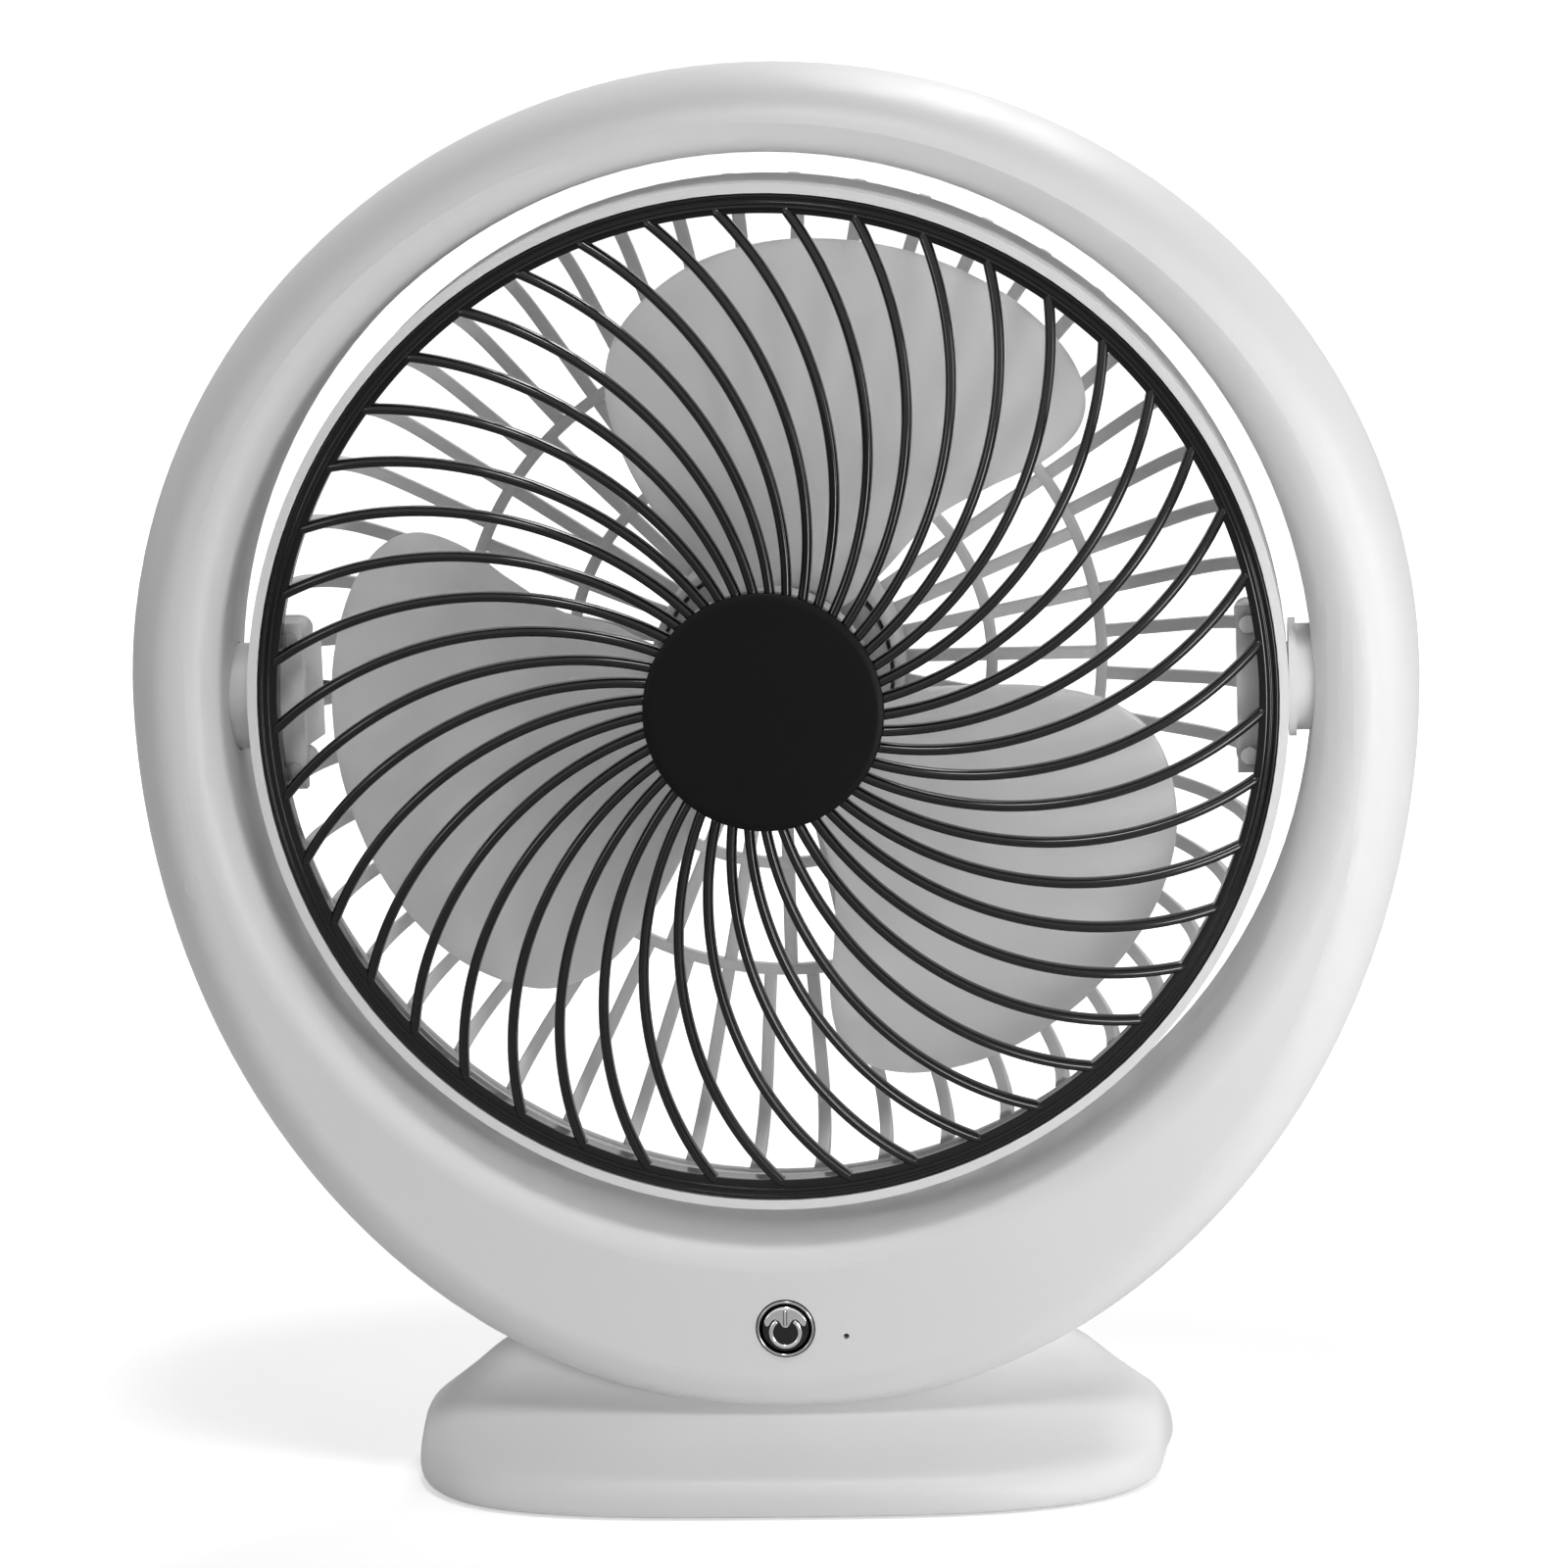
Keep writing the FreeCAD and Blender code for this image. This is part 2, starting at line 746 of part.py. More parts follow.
def board_screws():
    screws = []
    for x, z in board_places():
        screws.append(screw_y(small_screw_radius, small_screw_head_radius, small_screw_head_height,
                              small_screw_length, x, z, board_back, -1))
    return Part.makeCompound(screws)


# Cells
def cell_frame(shape, side):
    """Move a shape drawn along X at the origin to the left or right cell's place."""
    copy = shape.copy()
    copy.rotate(vec(0, 0, 0), axis_y, -cell_tilt_deg)
    copy.translate(vec(cell_centre_x, cell_centre_y, cell_centre_z))
    return mirrored_x(copy) if side < 0 else copy


def one_cell():
    body = rod_x(cell_radius, -cell_length * half, cell_length * half - cell_tip)
    tip = rod_x(cell_tip_radius, cell_length * half - cell_tip, cell_length * half)
    return joined([body, tip])


def battery_cells():
    return Part.makeCompound([cell_frame(one_cell(), side) for side in (1, -1)])


def one_cradle():
    """Open trough behind a cell, closed at both ends, against the back wall."""
    end = cell_length * half + cradle_gap + cradle_wall
    wide = cell_radius + cradle_gap + cradle_wall
    depth = ring_half_depth - wall - part_gap - cell_centre_y
    trough = block(-end, end, cell_radius * cradle_reach_share, depth, -wide, wide)
    room = rod_x(cell_radius + cradle_gap, -end + cradle_wall, end - cradle_wall)
    open_front = block(-end + cradle_wall, end - cradle_wall, 0, cell_radius * cradle_reach_share + pilot_gap,
                       -cell_radius - cradle_gap, cell_radius + cradle_gap)
    return trough.cut(room).cut(open_front)


def battery_cradles():
    room = egg_half(1, wall + part_gap)
    cradle = cell_frame(one_cradle(), 1).common(room)
    return Part.makeCompound([cradle, mirrored_x(cradle)])


def one_strap():
    """Clip band over the front of a cell, its feet on the cradle's edges."""
    inner = cell_radius + cradle_gap
    band = rod_x(inner + strap_thickness, -strap_width * half, strap_width * half)
    band = band.cut(rod_x(inner, -strap_width, strap_width))
    back = block(-strap_width, strap_width, cell_radius * cradle_reach_share, inner * twice, -inner * twice, inner * twice)
    return band.cut(back)


def battery_straps():
    return Part.makeCompound([cell_frame(one_strap(), side) for side in (1, -1)])


# Charging socket
def charging_port():
    """Metal socket shell with its contact tongue, opening at the back."""
    back = ring_half_depth - port_recess
    front = back - port_length

    def oval(width, thick, y0, y1):
        x = width * half - thick * half
        core = block(-x, x, y0, y1, port_height - thick * half, port_height + thick * half)
        ends = [rod_y(thick * half, y0, y1, sx * x, port_height) for sx in (1, -1)]
        return joined([core] + ends)

    shell = oval(port_width, port_thickness, front, back)
    inner = oval(port_width - port_shell * twice, port_thickness - port_shell * twice, front + port_shell, back + overrun)
    tongue = block(-port_width * port_tongue_share, port_width * port_tongue_share, front, back - port_tongue,
                   port_height - port_shell, port_height + port_shell)
    return joined([shell.cut(inner), tongue])


port_tongue_share = 0.33


def charging_board():
    return block(-charge_board_half_width, charge_board_half_width, charge_board_back - charge_board_length,
                 charge_board_back, charge_board_low, charge_board_low + board_thickness)


# Pivots
inner_flange_end = math.sqrt((head_radius - band_wall) ** 2 - trunnion_inner_flange_radius ** 2) - part_gap


def pivot_bush():
    """Two half sleeves round a trunnion, held by the shells' saddles."""
    outer = rod_x(bush_outer, bush_start, bush_end)
    sleeve = outer.cut(rod_x(trunnion_radius + running_gap, bush_start - overrun, bush_end + overrun))
    gap = block(bush_start - overrun, bush_end + overrun, -bush_split * half, bush_split * half,
                -bush_outer * twice, bush_outer * twice)
    return at_head(sleeve.cut(gap))


def friction_washer():
    """Spring washer between the bush and the trunnion's collar, which holds the tilt."""
    ring = rod_x(trunnion_collar_radius - part_gap, bush_end + part_gap * half,
                 bush_end + part_gap * half + washer_thickness)
    return at_head(ring.cut(rod_x(trunnion_radius + part_gap, bush_end - overrun, collar_start + overrun)))


def trunnion(lug):
    """Hollow pivot: inner flange, neck through the band, outer flange, journal and end collar."""
    inner_start = inner_flange_end - trunnion_inner_flange
    flange_start = head_radius + running_gap
    flange_end = flange_start + trunnion_flange
    shapes = [
        rod_x(trunnion_inner_flange_radius, inner_start, inner_start + trunnion_inner_flange),
        rod_x(trunnion_inner_flange_radius - trunnion_flange, inner_start, flange_end),
        rod_x(trunnion_flange_radius, flange_start, flange_end),
        rod_x(trunnion_radius, flange_start, collar_end),
        rod_x(trunnion_collar_radius, collar_start, collar_end),
    ]
    if lug:
        shapes.append(block(collar_start, collar_end, -stop_lug_width * half, stop_lug_width * half,
                            0, trunnion_collar_radius + stop_lug))
    solid = joined(shapes)
    return at_head(solid.cut(rod_x(trunnion_bore, inner_start - overrun, collar_end + overrun)))


def rib_inner_radius(y):
    """Radius of the rear ribs' inner face at one depth behind the head's middle plane."""
    fall = (y - rear_rim_depth) / (rear_depth - rear_rim_depth - rear_wall)
    reach = (rear_corner_radial - rear_wall) * math.sqrt(1 - fall ** 2)
    return head_radius - rear_rim_inset - rear_corner_radial + reach


def bracket_outer_x():
    """Place of the brackets' outer faces, just inside the band."""
    return head_radius - band_wall - part_gap


def bracket_face_x(front_depth, back_depth, y):
    """Place of a bracket's slanted inner face at one depth."""
    share = (y + bracket_half_depth) / (bracket_half_depth * twice)
    return bracket_outer_x() - front_depth - (back_depth - front_depth) * share


def bracket_room_x(front_depth, back_depth):
    """Inner end of the room for a lead, one wall outside the slanted face."""
    return bracket_face_x(front_depth, back_depth, -trunnion_bore) + bracket_wall


def pivot_bracket(front_depth, back_depth, with_hole):
    """Moulded box inside the head that clamps the trunnion's inner flange to the band."""
    outer_x = bracket_outer_x()
    front_x = outer_x - front_depth
    back_x = outer_x - back_depth
    ear_x = bracket_screw_x - small_screw_head_radius - bracket_screw_margin
    ear_y = -bracket_front
    corners = [vec(outer_x, -bracket_half_depth, -bracket_half_height),
               vec(front_x, -bracket_half_depth, -bracket_half_height),
               vec(back_x, bracket_half_depth, -bracket_half_height),
               vec(outer_x, bracket_half_depth, -bracket_half_height)]
    box = Part.Face(Part.makePolygon(corners + corners[:1])).extrude(vec(0, 0, bracket_half_height * twice))
    ears = block(ear_x, outer_x, ear_y, ear_y + bracket_ear_thickness,
                 -bracket_half_height - bracket_ear_height, bracket_half_height + bracket_ear_height)
    body = joined([box, ears])
    body = body.common(rod_y(outer_x, -head_radius, head_radius))
    rib_room = tube_y(head_radius, rib_inner_radius(bracket_half_depth) - part_gap,
                      rear_rim_depth + part_gap, bracket_half_depth + overrun)
    pocket_x = inner_flange_end - trunnion_inner_flange - part_gap
    pocket = rod_x(trunnion_inner_flange_radius + part_gap, pocket_x, outer_x + overrun)
    room = block(bracket_room_x(front_depth, back_depth), outer_x + overrun, -trunnion_bore,
                 bracket_half_depth + overrun, -trunnion_bore, trunnion_bore)
    body = body.cut([rib_room, pocket, room])
    if with_hole:
        body = body.cut(rod_x(bracket_hole_radius, back_x - overrun, pocket_x + overrun,
                              -bracket_hole_forward, -bracket_hole_drop))
    for sz in (1, -1):
        body = body.cut(rod_y(small_screw_radius + shank_gap, ear_y - overrun, 0, bracket_screw_x, sz * bracket_screw_rise))
    return at_head(body)


bracket_screw_x = math.sqrt((head_radius - band_wall - bracket_screw_inset) ** 2 - bracket_screw_rise ** 2)


def bracket_screws():
    screws = []
    for sx in (1, -1):
        for sz in (1, -1):
            screws.append(screw_y(small_screw_radius, small_screw_head_radius, small_screw_head_height,
                                  small_screw_length, sx * bracket_screw_x, sz * bracket_screw_rise,
                                  -bracket_front, 1))
    return at_head(Part.makeCompound(screws))


# Head
def boss_points():
    """The four places beside the pivots where screws enter the band from the front and from the back."""
    return [vec(sx * bracket_screw_x, 0, sz * bracket_screw_rise) for sx in (1, -1) for sz in (1, -1)]


def wall_boss(radius, y0, y1, point, keep):
    """Round screw boss with a web that ties it to the wall outside it."""
    x0 = min(point.x, math.copysign(head_radius, point.x))
    x1 = max(point.x, math.copysign(head_radius, point.x))
    web = block(x0, x1, y0, y1, point.z - radius, point.z + radius)
    return rod_y(radius, y0, y1, point.x, point.z).fuse(web).common(keep)


def pivot_pad(side, gap):
    """Round patch of the head's wall about the tilt axis, wider by a gap where it is cut out of the rear grille."""
    x0 = min(side * band_ledge_radius, side * (head_radius + overrun))
    x1 = max(side * band_ledge_radius, side * (head_radius + overrun))
    return rod_x(pivot_pad_radius + gap, x0, x1)


def head_band():
    """White front band of the head with its rebate for the grille and its inner bosses."""
    inner = head_radius - band_wall
    ledge_front = -grille_ring_front + grille_ring_depth + part_gap
    ledge_back = ledge_front + band_ledge_depth
    band = turned([(band_rebate_radius, -band_front), (head_radius, -band_front), (head_radius, 0), (inner, 0),
                   (inner, ledge_back), (band_ledge_radius, ledge_back), (band_ledge_radius, ledge_front),
                   (band_rebate_radius, ledge_front)])
    keep = rod_y(inner + band_wall * half, -band_front, 0)
    bosses = []
    boss_front = -bracket_front + bracket_ear_thickness
    for point in boss_points():
        bosses.append(wall_boss(bracket_boss_radius, boss_front, 0, point, keep))
    pad_ring = tube_y(head_radius, inner, -pivot_pad_radius, pivot_pad_radius)
    for sx in (1, -1):
        bosses.append(pad_ring.common(pivot_pad(sx, 0)))
    band = band.fuse(bosses)
    for point in boss_points():
        band = band.cut(rod_y(small_screw_radius + pilot_gap, boss_front - overrun, overrun, point.x, point.z))
    for sx in (1, -1):
        neck = trunnion_inner_flange_radius - trunnion_flange + running_gap
        x0 = min(sx * band_ledge_radius, sx * (head_radius + overrun))
        x1 = max(sx * band_ledge_radius, sx * (head_radius + overrun))
        band = band.cut(rod_x(neck, x0, x1))
    return at_head(band.removeSplitter())


def dome_y(radius):
    """Front face of the ribs: flat at the hub, falling towards the ring."""
    share = (radius - grille_hub_radius) / (grille_ring_inner - grille_hub_radius)
    drop = grille_hub_front - grille_ring_front - grille_line_height
    return -(grille_hub_front - drop * (grille_dome_share * share ** grille_dome_power + (1 - grille_dome_share) * share))


def dome_curve(setback, way):
    """Curve of the dome's section between the hub and the ring, outwards or inwards."""
    steps = 8
    radii = [grille_hub_radius + (grille_ring_inner - grille_hub_radius) * step / steps for step in range(steps + 1)]
    points = [vec(radius, dome_y(radius) + setback, 0) for radius in radii]
    if way < 0:
        points.reverse()
    curve = Part.BSplineCurve()
    curve.interpolate(points)
    return curve.toShape(), points[0], points[-1]


def grille_section():
    """Closed section of the whole grille: hub disc, dome and ring with its two raised lines."""
    front, front_in, front_out = dome_curve(0, 1)
    back, back_out, back_in = dome_curve(grille_rib_depth, -1)
    face = -grille_ring_front
    ring_back = face + grille_ring_depth
    crest = face - grille_line_height
    line_inner = grille_ring_inner + grille_rib_land
    line_outer = grille_radius - grille_line_width
    corners = [front_out, vec(grille_ring_inner + grille_line_width, front_out.y, 0),
               vec(grille_ring_inner + grille_line_width, face, 0),
               vec(line_inner, face, 0), vec(line_inner, crest, 0), vec(line_inner + grille_line_width, crest, 0),
               vec(line_inner + grille_line_width, face, 0), vec(line_outer, face, 0), vec(line_outer, crest, 0),
               vec(grille_radius, crest, 0), vec(grille_radius, ring_back, 0), vec(grille_ring_inner, ring_back, 0),
               back_out]
    hub_back = vec(0, -grille_hub_front + grille_hub_depth, 0)
    edges = [front]
    edges += [line(a, b) for a, b in zip(corners, corners[1:]) if a.distanceToPoint(b) > 0]
    edges += [back, line(back_in, vec(back_in.x, hub_back.y, 0)), line(vec(back_in.x, hub_back.y, 0), hub_back),
              line(hub_back, vec(0, -grille_hub_front, 0)), line(vec(0, -grille_hub_front, 0), front_in)]
    return turned_edges(edges)


def rib_angle(share):
    """Angle along a rib: it leaves the hub at a steady slant and bends as it nears the ring."""
    bend = grille_sweep_bend_share
    return grille_sweep_deg * share * (1 - bend + bend * share ** 4)


def rib_side(side, turn_deg):
    """Points along one edge of a rib, from the hub to the ring."""
    steps = 7
    points = []
    for step in range(steps + 1):
        share = step / steps
        radius = grille_hub_radius + (grille_ring_inner - grille_hub_radius) * share
        slope = (rib_angle(share + rib_probe_share) - rib_angle(share)) / rib_probe_share
        across = radius * math.radians(slope) / (grille_ring_inner - grille_hub_radius)
        widen = grille_rib_width * half * math.sqrt(1 + across ** 2) / radius
        points.append(polar(radius, rib_angle(share) + turn_deg + side * math.degrees(widen)))
    return points


rib_probe_share = 0.001


def rib_window():
    """Opening between two neighbouring ribs, drawn through the whole depth of the dome."""
    pitch = 360 / grille_rib_count
    first = rib_side(1, 0)
    second = rib_side(-1, pitch)
    second.reverse()
    edges = []
    for points in (first, second):
        curve = Part.BSplineCurve()
        curve.interpolate(points)
        edges.append(curve.toShape())
    rim_middle = polar(grille_ring_inner, rib_angle(1) + pitch * half)
    hub_middle = polar(grille_hub_radius, pitch * half)
    rim_arc = Part.Arc(first[-1], rim_middle, second[0]).toShape()
    hub_arc = Part.Arc(second[-1], hub_middle, first[0]).toShape()
    outline = Part.Wire([edges[0], rim_arc, edges[1], hub_arc])
    far = grille_hub_front + overrun
    return Part.Face(outline.translated(vec(0, -far, 0))).extrude(vec(0, far, 0))


def front_grille():
    """Black grille in one moulding: ring with two raised lines, swept ribs and hub disc."""
    window = rib_window()
    windows = [turned_about_y(window, grille_phase_deg + index * 360 / grille_rib_count)
               for index in range(grille_rib_count)]
    return at_head(grille_section().cut(windows))


def hub_cap():
    """Blank round plate over the middle of the grille."""
    return at_head(rod_y(grille_hub_radius, -grille_hub_front - hub_cap_thickness, -grille_hub_front))


def basket_profile():
    """Closed section of the rear basket, from its rim to the edge of its flat back."""
    rim = head_radius - rear_rim_inset
    flat_edge = rim - rear_corner_radial
    axial = rear_depth - rear_rim_depth
    outer, outer_low, outer_high = quarter(flat_edge, rear_rim_depth, rear_corner_radial, axial, 0, 90)
    inner, inner_high, inner_low = quarter(flat_edge, rear_rim_depth, rear_corner_radial - rear_wall,
                                           axial - rear_wall, 90, 0)
    root = rear_ring_b_radius
    return [
        line(inner_low, outer_low),
        outer,
        line(outer_high, vec(root, rear_depth, 0)),
        line(vec(root, rear_depth, 0), vec(root, rear_depth - rear_wall, 0)),
        line(vec(root, rear_depth - rear_wall, 0), inner_high),
        inner,
    ]


def rear_grille():
    """White rear basket: rim with screw ears, forward-bent ribs, two rings and the motor cup."""
    rim_outer = head_radius - rear_rim_inset
    shell = turned_edges(basket_profile())
    bar = block(0, head_radius, 0, rear_depth + overrun, -rear_rib_width * half, rear_rib_width * half)
    outer_rib = shell.common(bar)
    flat_front = rear_depth - rear_wall
    inner_rib = block(motor_cup_radius - motor_cup_wall * half, rear_ring_b_radius, flat_front, rear_depth,
                      -rear_rib_width * half, rear_rib_width * half)
    shapes = []
    for index in range(rear_outer_rib_count):
        shapes.append(turned_about_y(outer_rib, (index + half) * 360 / rear_outer_rib_count))
    for index in range(rear_inner_rib_count):
        shapes.append(turned_about_y(inner_rib, index * 360 / rear_inner_rib_count))
    for radius in (rear_ring_a_radius, rear_ring_b_radius):
        shapes.append(tube_y(radius + rear_ring_width * half, radius - rear_ring_width * half, flat_front, rear_depth))
    rim = tube_y(rim_outer, head_radius - band_wall, 0, rear_rim_depth + overrun)
    shapes.append(tube_y(motor_cup_radius, motor_cup_radius - motor_cup_wall, motor_cup_front, rear_depth))
    shapes.append(tube_y(motor_cup_radius, shaft_radius * twice, rear_depth - rear_wall, rear_depth))
    keep = rod_y(rim_outer, 0, rear_depth)
    for point in boss_points():
        shapes.append(wall_boss(ear_radius, 0, rear_rim_depth, point, keep))
    for index in range(plate_screw_count):
        point = polar(plate_screw_circle, index * 360 / plate_screw_count + 90)
        shapes.append(rod_y(ear_radius, motor_cup_front, rear_depth - rear_wall * half, point.x, point.z)
                      .common(rod_y(motor_cup_radius, 0, rear_depth)))
    body = rim.fuse(shapes)
    for point in boss_points():
        body = body.cut(rod_y(small_screw_radius + shank_gap, -overrun, rear_rim_depth + overrun * twice, point.x, point.z))
    for index in range(plate_screw_count):
        point = polar(plate_screw_circle, index * 360 / plate_screw_count + 90)
        body = body.cut(rod_y(small_screw_radius + pilot_gap, motor_cup_front - overrun,
                              motor_cup_front + small_screw_length, point.x, point.z))
    lead_way = rod_x(lead_radius + lead_gap * half, -motor_cup_radius - overrun, -motor_radius, lead_flat_y, 0)
    return at_head(body.cut([lead_way, pivot_pad(1, part_gap), pivot_pad(-1, part_gap)]))


def grille_screws():
    screws = []
    for point in boss_points():
        screws.append(screw_y(small_screw_radius, small_screw_head_radius, small_screw_head_height,
                              small_screw_length, point.x, point.z, rear_rim_depth, -1))
    return at_head(Part.makeCompound(screws))


# Motor
def motor_plate():
    """Round steel plate that carries the motor, screwed to the cup's bosses."""
    low = motor_cup_front - motor_plate_thickness
    plate = rod_y(motor_plate_radius, low, motor_cup_front)
    plate = plate.cut(rod_y(bearing_radius + part_gap, 0, motor_cup_front + overrun))
    for index in range(motor_screw_count):
        point = polar(motor_screw_circle + bearing_radius, index * 360 / motor_screw_count)
        plate = plate.cut(rod_y(small_screw_radius + shank_gap, 0, motor_cup_front + overrun, point.x, point.z))
    for index in range(plate_screw_count):
        point = polar(plate_screw_circle, index * 360 / plate_screw_count + 90)
        plate = plate.cut(rod_y(small_screw_radius + shank_gap, 0, motor_cup_front + overrun, point.x, point.z))
    return at_head(plate)


motor_start = motor_cup_front
motor_end = rear_depth - rear_wall - part_gap
motor_body_end = motor_end - motor_cap_thickness


def motor_can():
    """Steel can, open at the back, its front bored for the bearing and tapped for two screws."""
    can = rod_y(motor_radius, motor_start, motor_body_end)
    can = can.cut(rod_y(motor_radius - motor_wall, motor_start + motor_wall, motor_end))
    can = can.cut(rod_y(bearing_radius + pilot_gap, 0, motor_end))
    for index in range(motor_screw_count):
        point = polar(motor_screw_circle + bearing_radius, index * 360 / motor_screw_count)
        can = can.cut(rod_y(small_screw_radius + pilot_gap, 0, motor_start + motor_wall + overrun, point.x, point.z))
    return at_head(can)


def motor_end_cap():
    cap = rod_y(motor_radius, motor_body_end, motor_end)
    cap = cap.cut(rod_y(bearing_radius + pilot_gap, motor_body_end - overrun, motor_end - motor_wall))
    cap = cap.cut(rod_y(shaft_radius + part_gap, motor_body_end, motor_end + overrun))
    return at_head(cap)


def motor_bearings():
    """Front and rear sleeve bearings of the motor."""
    rings = []
    rear_start = motor_end - motor_wall - bearing_length
    for start in (motor_start - motor_plate_thickness, rear_start):
        ring = rod_y(bearing_radius, start, start + bearing_length)
        rings.append(ring.cut(rod_y(shaft_radius + running_gap, start - overrun, start + bearing_length + overrun)))
    return at_head(Part.makeCompound(rings))


def motor_magnets():
    """Two curved magnets against the inside of the can."""
    outer = motor_radius - motor_wall - pilot_gap
    ring = tube_y(outer, outer - magnet_thickness, motor_start + motor_wall + overrun, motor_body_end - overrun)
    gap = block(-motor_radius, motor_radius, 0, rear_depth, -magnet_thickness, magnet_thickness)
    return at_head(ring.cut(gap))


def motor_rotor():
    """Wound core on the shaft, with its three poles."""
    start = motor_start - motor_plate_thickness + bearing_length + overrun
    end = motor_end - motor_wall - bearing_length - overrun
    core = rod_y(rotor_radius, start, end)
    core = core.cut(rod_y(shaft_radius, start - overrun, end + overrun))
    for index in range(blade_count):
        slot = block(rotor_radius * half, rotor_radius + overrun, 0, rear_depth, -shaft_radius, shaft_radius)
        core = core.cut(turned_about_y(slot, index * 360 / blade_count))
    return at_head(core)


shaft_front = -(impeller_hub_front + collar_nut_length - overrun - part_gap)


def motor_shaft():
    return at_head(rod_y(shaft_radius, shaft_front, motor_end - motor_wall - part_gap))


def motor_screws():
    screws = []
    low = motor_cup_front - motor_plate_thickness
    length = motor_plate_thickness + motor_wall + overrun * half
    for index in range(motor_screw_count):
        point = polar(motor_screw_circle + bearing_radius, index * 360 / motor_screw_count)
        screws.append(screw_y(small_screw_radius, small_screw_head_radius, small_screw_head_height, length,
                              point.x, point.z, low, 1))
    for index in range(plate_screw_count):
        point = polar(plate_screw_circle, index * 360 / plate_screw_count + 90)
        screws.append(screw_y(small_screw_radius, small_screw_head_radius, small_screw_head_height,
                              small_screw_length, point.x, point.z, low, 1))
    return at_head(Part.makeCompound(screws))


# Impeller
def blade_section(distance):
    """Thin curved section of a blade in the plane at one distance along its middle line."""
    reach = blade_tip_radius * blade_reach_share
    rate = blade_sweep_depth / math.radians(blade_span_deg)
    mid_y = -blade_front + blade_sweep_depth * half
    steps = 8
    front = []
    for step in range(steps + 1):
        across = -reach + twice * reach * step / steps
        y = mid_y + rate * math.atan2(across, distance)
        front.append(vec(across, y, distance))
    back = [point.add(vec(0, blade_thickness, 0)) for point in reversed(front)]
    edges = []
    for points in (front, back):
        curve = Part.BSplineCurve()
        curve.interpolate(points)
        edges.append(curve.toShape())
    return Part.Wire([edges[0], line(front[-1], back[0]), edges[1], line(back[-1], front[0])])


def blade():
    """One broad round-cornered blade: a screw-shaped sheet trimmed to its outline."""
    sheet = Part.makeLoft([blade_section(share * blade_tip_radius) for share in blade_station_shares], True, False)
    middle = blade_start_deg + blade_span_deg * half
    sheet = turned_about_y(sheet, middle - 90)
    points = []
    for radius_share, angle_share in blade_outline_shares:
        points.append(polar(radius_share * blade_tip_radius, blade_start_deg + angle_share * blade_span_deg,
                            -rear_depth))
    curve = Part.BSplineCurve()
    curve.interpolate(Points=points, PeriodicFlag=True)
    prism = Part.Face(Part.Wire([curve.toShape()])).extrude(vec(0, rear_depth * twice, 0))
    trimmed = sheet.common(prism)
    motor_room = rod_y(motor_cup_radius + blade_motor_gap, impeller_hub_depth - impeller_hub_front - blade_motor_gap * half,
                       rear_depth)
    core = rod_y(impeller_hub_radius - impeller_hub_wall * half, -rear_depth, rear_depth)
    return trimmed.cut(motor_room).cut(core)


def impeller():
    """Hub cup with a central boss, and its blades."""
    front = -impeller_hub_front
    back = front + impeller_hub_depth
    cup = rod_y(impeller_hub_radius, front, back)
    cup = cup.cut(rod_y(impeller_hub_radius - impeller_hub_wall, front + impeller_hub_wall, back + overrun))
    boss = rod_y(impeller_boss_radius, front, back)
    hub = joined([cup, boss]).cut(rod_y(shaft_radius, front - overrun, back + overrun))
    one = blade()
    blades = [turned_about_y(one, index * 360 / blade_count) for index in range(blade_count)]
    return at_head(hub.fuse(blades))


def impeller_nut():
    """Collar nut that holds the impeller on the shaft's front end."""
    start = -impeller_hub_front - collar_nut_length
    nut = rod_y(collar_nut_radius, start, -impeller_hub_front)
    return at_head(nut.cut(rod_y(shaft_radius, start + overrun, overrun)))


# Leads
lead_flat_y = rear_depth - rear_wall - lead_radius - lead_gap


def lead_along(points):
    """Round lead along straight runs joined by tangent arcs."""
    edges = []
    previous = points[0]
    for index in range(1, len(points) - 1):
        corner = points[index]
        back_way = points[index - 1].sub(corner)
        next_way = points[index + 1].sub(corner)
        shorter = min(back_way.Length, next_way.Length)
        cut = shorter * lead_bend_share
        back_way.normalize()
        next_way.normalize()
        start = corner.add(vec(back_way.x, back_way.y, back_way.z).multiply(cut))
        end = corner.add(vec(next_way.x, next_way.y, next_way.z).multiply(cut))
        angle = back_way.getAngle(next_way)
        toward = back_way.add(next_way).normalize()
        radius = cut * math.tan(angle / 2)
        middle = corner.add(toward.multiply(radius / math.sin(angle / 2) - radius))
        edges.append(line(previous, start))
        edges.append(Part.Arc(start, middle, end).toShape())
        previous = end
    edges.append(line(previous, points[-1]))
    path = Part.Wire(edges)
    way = points[1].sub(points[0])
    profile = Part.Wire([Part.makeCircle(lead_radius, points[0], way)])
    return path.makePipeShell([profile], True, False)


lead_meet_x = -(head_radius + trunnion_flange * 3)
lead_angles = [197.0, 212.0, 226.0, 240.0, 250.0]
lead_width_shares = [0.76, 0.76, 0.74, 0.60, 0.62]


def motor_lead():
    """From the motor's back, along a rear rib, through the left bracket into the pivot."""
    turn_x = bracket_room_x(left_bracket_front_depth, left_bracket_back_depth) + lead_radius + lead_gap
    corner_radius = head_radius - rear_rim_inset - rear_corner_radial
    points = [
        vec(-motor_radius - lead_gap, lead_flat_y, 0),
        vec(-rear_ring_b_radius, lead_flat_y, 0),
        polar(corner_radius, 180 + half * 360 / rear_outer_rib_count, lead_flat_y),
        vec(-turn_x, bracket_half_depth + rear_corner_radial * half, -lead_radius),
        vec(-turn_x, 0, 0),
        vec(lead_meet_x, 0, 0),
    ]
    return at_head(lead_along(points))


